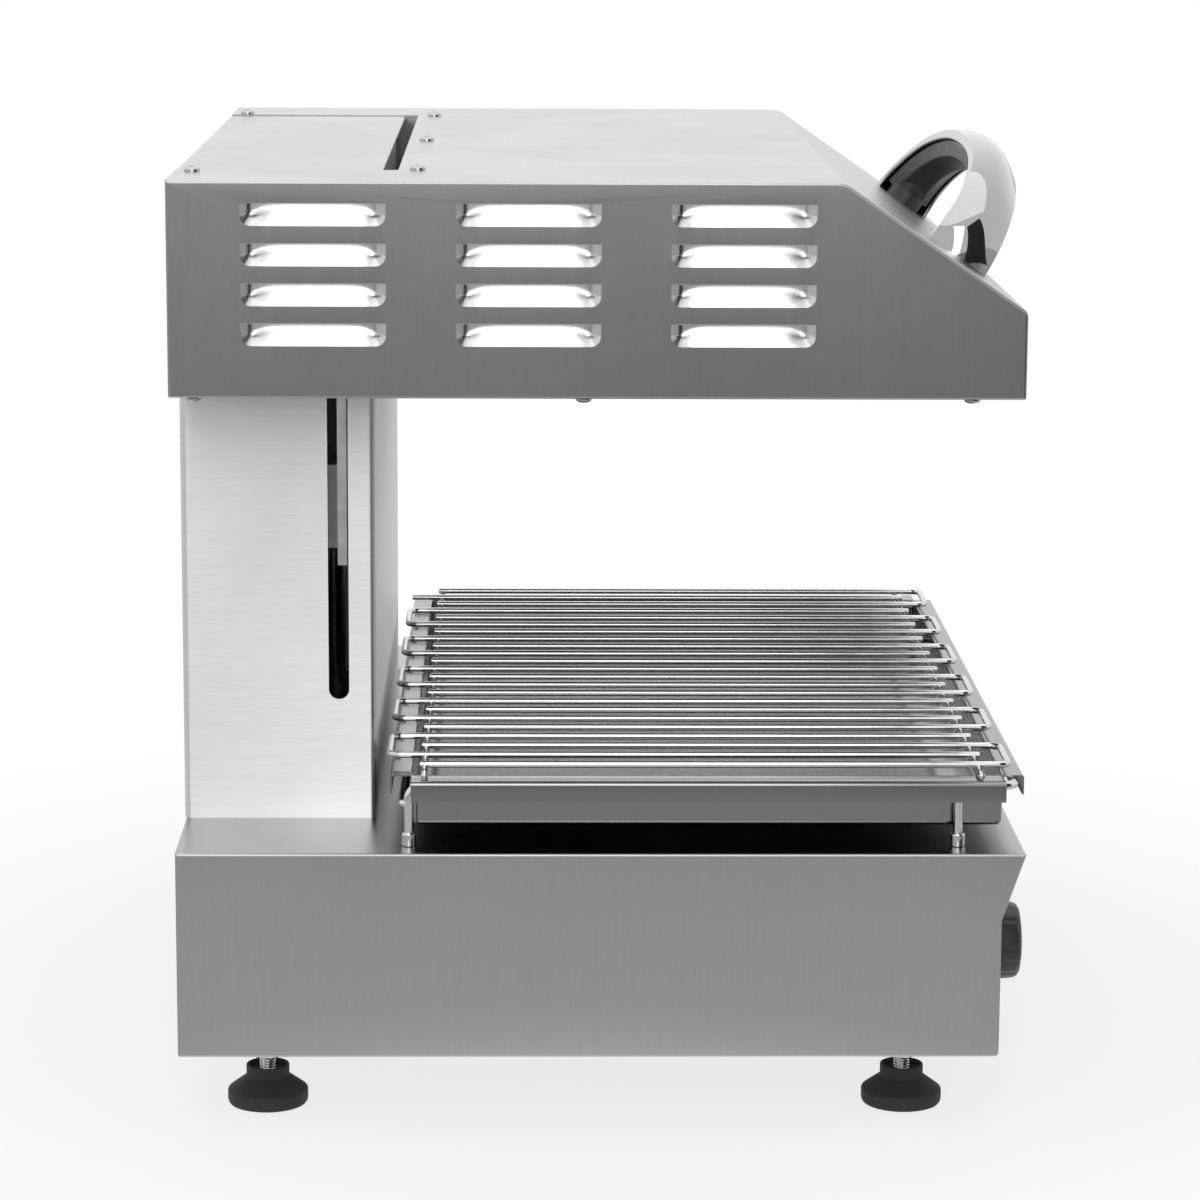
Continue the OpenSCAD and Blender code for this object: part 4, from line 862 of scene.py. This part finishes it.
for a, b, out in (
    ((-TRAY_HALF, PAN_R), (-TRAY_HALF, PAN_F), (-1, 0)),
    ((TRAY_HALF, PAN_R), (TRAY_HALF, PAN_F), (1, 0)),
    ((-PAN_HALF, TRAY_F), (PAN_HALF, TRAY_F), (0, 1)),
    ((-PAN_HALF, TRAY_R), (PAN_HALF, TRAY_R), (0, -1)),
):
    o, strip = Vector(out), []
    for back, down in bend(BEND):
        strip.append([Vector((*(Vector(p) - o * back), RIM - down)) for p in (a, b)])
    strip.append([Vector((*p, RIM - LIP_H)) for p in (a, b)])
    tray.rings(strip, closed=False)
piece("drip_tray_sheet", "drip_tray", tray, STEEL_TRAY_SHADED, ["drip_tray"], 1.0,
      (0, 0, 1))

# ---- Stand and grid ----

STAND_HIGH = span("tray_stand")[1]
STAND_R = 2.75
REAR_WIRE_R, LEG_R = STAND_R - 0.15, STAND_R - 0.1  # welded on, and a little thinner
STAND_X = STAND_HIGH.x - STAND_R
STAND_Z = STAND_HIGH.z - STAND_R
FRONT_BAR = STAND_HIGH.y - STAND_R
REAR_LEG, FRONT_LEG, REAR_BAR = 133, 450, PAN_R - STAND_R - 2
REAR_BAR_Z = STAND_Z - 8 - STAND_R
stand = Shape()
FOOT_Z = BASE_TOP + 2
frame_wire = [
    (-STAND_X, REAR_LEG, FOOT_Z), (-STAND_X, REAR_LEG, STAND_Z), (-STAND_X, FRONT_BAR, STAND_Z),
    (STAND_X, FRONT_BAR, STAND_Z), (STAND_X, REAR_LEG, STAND_Z), (STAND_X, REAR_LEG, FOOT_Z),
]
rear_wire = [
    (-STAND_X, REAR_LEG, REAR_BAR_Z), (-STAND_X + 1, REAR_BAR, REAR_BAR_Z),
    (STAND_X - 1, REAR_BAR, REAR_BAR_Z), (STAND_X, REAR_LEG, REAR_BAR_Z),
]
tube(stand, bent(frame_wire, 8, 8), STAND_R, 20)
tube(stand, bent(rear_wire, 1, 4), REAR_WIRE_R, 20)
for s in (-1, 1):
    leg = [(s * STAND_X, FRONT_LEG, FOOT_Z), (s * STAND_X, FRONT_LEG, STAND_Z)]
    tube(stand, leg, LEG_R, 20)
piece("tray_stand_wire", "tray_stand", stand, WIRE, ["tray_stand"], sharp=50)

LEG_CAP = [(0.1, 0), (3.6, 0), (4.1, 0.3), (4.25, 1), (4.25, 6.6), (4.0, 7.4), (3.4, 8), (2.8, 8),
           (2.8, 2)]
caps = Shape()
for s in (-1, 1):
    for d in (REAR_LEG, FRONT_LEG):
        lathe(caps, LEG_CAP, (s * STAND_X, d, BASE_TOP), (0, 0, 1), 32)
piece("stand_leg_caps", "tray_stand", caps, GROUND, ["stand_caps"], sharp=40)

GRID_LOW, GRID_HIGH = span("grill_grid")
CROSS_LOW, CROSS_HIGH = span("grid_cross_wires")
ROD_R = 2
ROD_Z = GRID_HIGH.z - ROD_R
CROSS_Z = (CROSS_LOW.z + CROSS_HIGH.z) / 2
RODS = 23
PITCH = (GRID_HIGH.x - GRID_LOW.x - 2 * ROD_R) / (RODS - 1)
TIP_F, TIP_R = GRID_HIGH.y - ROD_R, GRID_LOW.y + ROD_R
CROSS_F, CROSS_R = CROSS_HIGH.y - ROD_R, CROSS_LOW.y + ROD_R


def rod_x(i):
    return (i - (RODS - 1) / 2) * PITCH


def hairpin(shape, i, tail, tip):
    """Rods i and i + 2, joined at the tip."""
    a, b = rod_x(i), rod_x(i + 2)
    corners = [(a, tail, ROD_Z), (a, tip, ROD_Z), (b, tip, ROD_Z), (b, tail, ROD_Z)]
    tube(shape, bent(corners, 6, 6), ROD_R)


TAIL = 3  # how far a rod's free end passes the cross-wire
grid = Shape()
for i in range(0, RODS - 2, 4):
    hairpin(grid, i, CROSS_R - TAIL, TIP_F)
for i in range(1, RODS - 3, 4):
    hairpin(grid, i, CROSS_F + TAIL, TIP_R)
tube(grid, [(rod_x(RODS - 2), TIP_R, ROD_Z), (rod_x(RODS - 2), CROSS_F + TAIL, ROD_Z)], ROD_R)
piece("grid_rods", "grill_grid", grid, WIRE, ["grill_grid"], sharp=50)

WELD_BEAD = [(0.4, -1.2), (1.2, -0.9), (1.75, 0), (1.2, 0.9), (0.4, 1.2)]
cross = Shape()
for d in (CROSS_F, CROSS_R):
    tube(cross, [(CROSS_LOW.x, d, CROSS_Z), (CROSS_HIGH.x, d, CROSS_Z)], ROD_R)
    for i in range(RODS):
        lathe(cross, WELD_BEAD, (rod_x(i), d, (CROSS_Z + ROD_Z) / 2), (0, 0, 1), 12)
piece("grid_cross_wires_welded", "grill_grid", cross, WIRE, ["grid_cross_wires"],
      sharp=50)

# ---- Handle ----

BOW_HALF, BOW_H, POWER = 188, 67, 2.3  # the bow is a superellipse of that power
BOW_W, NARROWS = 40, 9  # its width at the hood, and how much less it is at the top
SET = 27.5  # the handle's middle lies this far behind the hood's front
SLOPE_MID = Vector((0, HOOD_D - SET, HOOD_BOTTOM + FRONT_EDGE + SLOPE_H * SET / SLOPE_D))


def on_slope(x, across, up):
    """A point of the handle: across points down the slope, up away from it."""
    c, s = math.cos(SLOPE), math.sin(SLOPE)
    return Vector((x, SLOPE_MID.y + across * c + up * s, SLOPE_MID.z - across * s + up * c))


def bow(a):
    """The bow's outer line at angle a, as (x, height)."""
    c, s = math.cos(a), math.sin(a)
    x = BOW_HALF * math.copysign(abs(c) ** (2 / POWER), c)
    return Vector((x, BOW_H * abs(s) ** (2 / POWER)))


def bow_ring(a, section):
    """The section (across, depth) on the bow at angle a; across is a share of half its width."""
    step = 0.004
    d = (bow(min(a + step, math.pi)) - bow(max(a - step, 0))).normalized()
    inward, outer = Vector((-d.y, d.x)), bow(a)
    wide = (BOW_W - NARROWS * outer.y / BOW_H) / 2
    if a <= 0 or a >= math.pi:
        inward = Vector((-1 if a <= 0 else 1, 0))
    return [on_slope(outer.x + inward.x * t, u * wide, outer.y + inward.y * t) for u, t in section]


def crown(from_depth, lift, wide, steps=16):
    """The crowned side of a section, wide to either side of its middle."""
    out = []
    for i in range(-steps, steps + 1):
        t = math.pi / 2 * i / steps
        out.append((wide * i / steps, from_depth + lift * (1 - math.cos(t))))
    return out


def mirrored(half):
    return [(-u, depth) for u, depth in reversed(half)]


def eased(start, end, steps):
    """Steps from start to end, closer together near both."""
    shares = [0.5 - 0.5 * math.cos(math.pi * k / steps) for k in range(steps + 1)]
    return [start + (end - start) * share for share in shares]


# One edge of each section, from its outer face to its inner: (across, depth)
SHELL_EDGE = [(1.0, 11.6), (0.985, 12.6), (0.955, 13), (0.9, 13), (0.87, 12.6), (0.86, 11.6)]
section = crown(0.1, 7.0, 1.0) + SHELL_EDGE + crown(2.3, 6.0, 0.86)[::-1] + mirrored(SHELL_EDGE)
shell = Shape()
shell.rings([bow_ring(a, section) for a in eased(0, math.pi, 64)], ends=True)
piece("handle_bow_shell", "hood", shell, CHROME, ["handle_shell"], sharp=45)

LINER_EDGE = [(0.8, 14.4), (0.76, 15.2), (0.54, 21.2), (0.48, 22), (0.4, 22.2)]
section = crown(2.5, 5.8, 0.8) + LINER_EDGE + mirrored(LINER_EDGE)
liner = Shape()
lined = eased(math.radians(6.5), math.radians(173.5), 56)
liner.rings([bow_ring(a, section) for a in lined], ends=True)
piece("handle_bow_liner", "hood", liner, BLACK, ["handle_liner"], sharp=35)

POST_X, SHELL_GAP = 172, 2.8
POST = [  # (radius, height)
        (12.5, 0), (12.5, 8.6), (12.2, 9), (11.8, 9.1), (11.8, 9.7), (12.1, 9.8), (12.3, 10.2),
        (12.3, 13), (12.3, 16), (12.2, 20), (11.8, 23), (11.2, 25)]


def post_x(r, h):
    """Where a post of radius r has its middle at height h: it leans in to stay in the shell."""
    return min(POST_X, BOW_HALF * (1 - (h / BOW_H) ** POWER) ** (1 / POWER) - SHELL_GAP - r)


posts = Shape()
for s in (-1, 1):
    rings = []
    for r, h in POST:
        middle = s * post_x(r, h)
        rings.append([on_slope(middle + r * math.cos(t), r * math.sin(t), h) for t in turns(48)])
    posts.rings(rings, ends=True)
piece("handle_post_legs", "hood", posts, BLACK, ["handle_posts"], sharp=35)

# ---- Ropes ----

ROPE_R, CORE_R, STRAND_R, LAY = 2, 1.5, 0.48, 2.6  # LAY: millimetres along for a turn of 1 radian


def strands(shape, x, d, low, high):
    """A wire rope of six strands, laid along Z."""
    def ring(z):
        points = []
        for t in turns(36):
            r = CORE_R + STRAND_R * abs(math.cos(3 * (t - z / LAY)))
            points.append(Vector((x + r * math.cos(t), d + r * math.sin(t), z)))
        return points

    stacked(shape, low, high, 1.5, ring)


for node, body, hold in (("rope_front_runs", "hood", 14), ("rope_rear_runs", "counterweight", 8)):
    low, high = span(node)
    rope, mid = Shape(), (low.y + high.y) / 2
    for s in (-1, 1):
        strands(rope, s * (high.x - ROPE_R), mid, low.z, high.z)
    piece(f"{node}_strands", body, rope, ROPE, [node], sharp=60,
          blend=("root", body, world((0, mid, high.z)), world((0, mid, low.z + hold))))

# ---- Knobs and lamps ----

# Profiles turned about an axis, as (radius, height)
KNOB = [(22.3, 1.0), (23.3, 1.3), (23.5, 2), (23.5, 4), (23.4, 9), (23.2, 15), (22.7, 19.2),
        (21.6, 21.4), (19.6, 22.6), (16.5, 23.2), (12.5, 23.4), (11.5, 23.1), (6, 23.0),
        (0.3, 23.0)]
SHAFT = [(3, -15), (3, 2)]
RIBBED = {3: 0.4, 4: 1, 5: 1, 6: 0.8}  # how deep the grip's flutes are at points of KNOB
FLUTES, FLUTE_DEPTH = 16, 0.016
MARK = box_corners(-0.9, 0.9, 12.8, 17.6, 0.8)
MARK_FACE, MARK_ROOT = 23.48, 21


def ribbed(t, i):
    """Shallow flutes round the grip."""
    return 1 - FLUTE_DEPTH * RIBBED.get(i, 0) * max(0, math.cos(FLUTES * t)) ** 1.5


for side, word in SIDES:
    knob, mark = Shape(), Shape()
    at = (side * KNOB_X, FRONT, KNOB_Z)
    lathe(knob, KNOB, at, (0, 1, 0), 192, ribbed)
    lathe(knob, SHAFT, at, (0, 1, 0), 24)
    line = outline(MARK)
    mark.flat(line, [], lambda u, v: Vector((at[0] + u, FRONT + MARK_FACE, KNOB_Z + v)))
    mark.rings([
        [Vector((at[0] + p.x, FRONT + w, KNOB_Z + p.y)) for p in line]
        for w in (MARK_FACE, MARK_ROOT)
    ])
    piece(f"knob_{word}_body", f"knob_{word}", knob, BLACK, [f"knob_{word}"],
          sharp=35)
    piece(f"knob_{word}_pointer", f"knob_{word}", mark, PALE, out=(0, -1, 0),
          sharp=40)

BEZEL = [(4.6, -20), (4.6, 0), (6, 0), (6, 1.2), (5.6, 1.9), (5.1, 2), (4.8, 1.5), (4.7, 0.8)]
LENS = [(4.6, 0.8), (4.6, 1.4), (4.4, 2.2), (3.6, 2.7), (2.2, 3.0), (0.3, 3.1)]
lamps, lenses = Shape(), Shape()
for s in (-1, 1):
    at = (s * LAMP_X, FRONT, KNOB_Z)
    lathe(lamps, BEZEL, at, (0, 1, 0), 36)
    lathe(lenses, LENS, at, (0, 1, 0), 36)
piece("lamp_bezels", "root", lamps, GROUND, sharp=35)
piece("lamp_lenses", "root", lenses, AMBER, ["pilot_lamps"], sharp=50)

# ---- Feet ----

FOOT_X, FOOT_FRONT, FOOT_REAR = 240, 424, 48
FEET = {
    "front_left": (-FOOT_X, FOOT_FRONT), "front_right": (FOOT_X, FOOT_FRONT),
    "rear_left": (-FOOT_X, FOOT_REAR), "rear_right": (FOOT_X, FOOT_REAR),
}
PAD = [(0.2, 0), (20.8, 0), (22.5, 0.6), (23.4, 1.8), (23.75, 3.4), (23.75, 8.2), (23.5, 9.0),
       (22.8, 9.7), (13.7, 16.5), (13.0, 17.2), (12.75, 18.2), (12.75, 23.3), (12.5, 23.8),
       (12.0, 24), (11.4, 23.8), (11.1, 23.2), (10.8, 21), (5.3, 20.6), (5.2, 12)]
STUD_HEX = [(8.6, 29), (9.2, 29.5), (9.2, 33.5), (8.6, 34)]
STUD_Z = 12.5, 68


def thread(shape, x, d, low, high, radius=4.95, deep=0.75, pitch=1.5):
    """A screw thread along Z, its crest at the radius."""
    def ring(z):
        def scale(t):
            phase = (z / pitch - t / (2 * math.pi)) % 1
            return 1 - deep / radius * (1 - abs(2 * phase - 1))

        return circle((x, d, z), (0, 0, 1), radius, 0, 24, scale)

    stacked(shape, low, high, 0.5, ring)


for word, (x, d) in FEET.items():
    foot, stud = Shape(), Shape()
    lathe(foot, PAD, (x, d, 0), (0, 0, 1), 64)
    piece(f"foot_{word}_pad", f"foot_{word}", foot, RUBBER, [f"foot_{word}"],
          sharp=35)
    thread(stud, x, d, *STUD_Z)
    lathe(stud, STUD_HEX, (x, d, 0), (0, 0, 1), 60, lambda t, i: hexagon(t))
    piece(f"stud_{word}_thread", f"foot_{word}", stud, GROUND, [f"stud_{word}"],
          sharp=25)

# ---- Stage, light and camera ----


def seen_rays(tree):
    """1 for camera, glossy and transmission rays."""
    rays = tree.nodes.new("ShaderNodeLightPath")
    total = rays.outputs["Is Camera Ray"]
    for name in ("Is Glossy Ray", "Is Transmission Ray"):
        node = tree.nodes.new("ShaderNodeMath")
        node.operation = "ADD"
        node.use_clamp = True
        tree.links.new(total, node.inputs[0])
        tree.links.new(rays.outputs[name], node.inputs[1])
        total = node.outputs[0]
    return total


def mixed(tree, factor, a, b):
    node = tree.nodes.new("ShaderNodeMixShader")
    for value, socket in zip((factor, a, b), node.inputs):
        tree.links.new(value, socket)
    return node.outputs[0]


def sheet(name, width, height):
    """A flat rectangle round its own middle, in metres."""
    w, h = width / 2, height / 2
    mesh = bpy.data.meshes.new(name)
    mesh.from_pydata([(x, y, 0) for x, y in rect(-w, w, -h, h)], [], [(0, 1, 2, 3)])
    return mesh


FLOOR_W = 80


def stage_floor():
    mesh = sheet("floor", FLOOR_W, FLOOR_W)
    floor = linked("floor", mesh)
    n = Nodes("floor", Base_Color=rgba(0.82), Roughness=0.9, Specular_IOR_Level=0.1)
    tree, nodes = n.tree, n.tree.nodes
    length = n.add("ShaderNodeVectorMath", {"operation": "LENGTH"}, Vector=n.coords)
    distance = length.outputs["Value"]
    split = n.add("ShaderNodeSeparateXYZ", Vector=n.coords)
    # In the metal: bright close by and darker with distance on the photo's side, even elsewhere
    close = n.span(distance, 0.37, 0, 0.38, 0.52)
    beyond = n.span(distance, 0.6, 0.31, 1.1, 1.3)
    aside = n.span(n.maths(split.outputs["X"], distance, "DIVIDE"), 0, 0.62, -0.72, -0.45)
    white = nodes.new("ShaderNodeEmission")
    grey = n.add("ShaderNodeEmission", Strength=n.maths(n.maths(close, beyond), aside, "MAXIMUM"))
    # To the camera: white, with the object's shadow near the feet
    whiteness = n.maths(seen_rays(tree), n.span(distance, 0.76, 1.0, 0.2, 0.85), "MULTIPLY")
    seen = mixed(tree, whiteness, n.shader.outputs[0], white.outputs[0])
    glossy = nodes.new("ShaderNodeLightPath").outputs["Is Glossy Ray"]
    tree.links.new(mixed(tree, glossy, seen, grey.outputs[0]), nodes["Material Output"].inputs[0])
    mesh.materials.append(n.material)


PLAIN, WHITE = 0.5, 1.0  # the world's strength as a light, and as it's seen


def sky():
    made = bpy.data.worlds.new("studio")
    bpy.context.scene.world = made
    made.use_nodes = True
    tree = made.node_tree
    plain, white = tree.nodes["Background"], tree.nodes.new("ShaderNodeBackground")
    for node, strength in ((plain, PLAIN), (white, WHITE)):
        node.inputs["Color"].default_value = (1, 1, 1, 1)
        node.inputs["Strength"].default_value = strength
    shown = mixed(tree, seen_rays(tree), plain.outputs[0], white.outputs[0])
    tree.links.new(shown, tree.nodes["World Output"].inputs[0])


def aim(obj, at, target, axis):
    """Puts obj at a place with its axis towards the target, unseen by the camera. In metres."""
    obj.location = at
    obj.rotation_euler = (Vector(target) - Vector(at)).to_track_quat(axis, "Y").to_euler()
    obj.visible_camera = False


def lamp(name, at, target, size, power):
    light = bpy.data.lights.new(name, "AREA")
    light.shape = "RECTANGLE"
    light.size, light.size_y = size
    light.energy = power
    aim(linked(name, light), at, target, "-Z")


CAMERA_AT = -2527.3, 197.6, 741.2
CAMERA_TURNS = 0.0200, 0.1890, 0.00535  # yaw, pitch and roll in radians
CAMERA_LENS = 120.38


def camera():
    yaw, pitch, roll = CAMERA_TURNS
    at = world(CAMERA_AT)
    cy, sy, cp, sp = math.cos(yaw), math.sin(yaw), math.cos(pitch), math.sin(pitch)
    ahead = Vector((cy * cp, -sy * cp, -sp))
    right = Vector((-sy, -cy, 0))
    up = Vector((cy * sp, -sy * sp, cp))
    cr, sr = math.cos(roll), math.sin(roll)
    x, y, z = cr * right + sr * up, -sr * right + cr * up, -ahead
    data = bpy.data.cameras.new("camera")
    data.lens, data.sensor_width = CAMERA_LENS, 36
    data.clip_start, data.clip_end = 0.05, 200
    obj = linked("camera", data)
    obj.matrix_world = Matrix((
        (x.x, y.x, z.x, at.x), (x.y, y.y, z.y, at.y), (x.z, y.z, z.z, at.z), (0, 0, 0, 1)))
    bpy.context.scene.camera = obj


def card(at, target, width, height):
    """A dark studio card, seen in the metal alone."""
    mesh = sheet("card", width, height)
    n = Nodes("card_cloth", Roughness=0.9)
    cloth = n.noise(30, 3, 0.5)
    mesh.materials.append(n.set(Base_Color=n.mix(n.span(cloth, 0, 1), rgba(0.03), rgba(0.05))))
    obj = linked("card", mesh)
    aim(obj, at, target, "Z")
    obj.visible_shadow = False
    obj.visible_diffuse = False


# Places and sizes in the frame's metres, power in watts
stage_floor()
sky()
card((-0.98, -0.98, 1.1), (-0.19, -0.19, 1.0), 1.05, 2.2)
lamp("overhead", (0.5, 0.3, 2.4), (0, 0, 0.3), (3.2, 3.2), 20)
lamp("side", (-2.6, 0.05, 1.9), (-0.2, -0.1, 0.5), (0.9, 3.2), 20)
camera()
bpy.context.scene.view_settings.view_transform = "Standard"
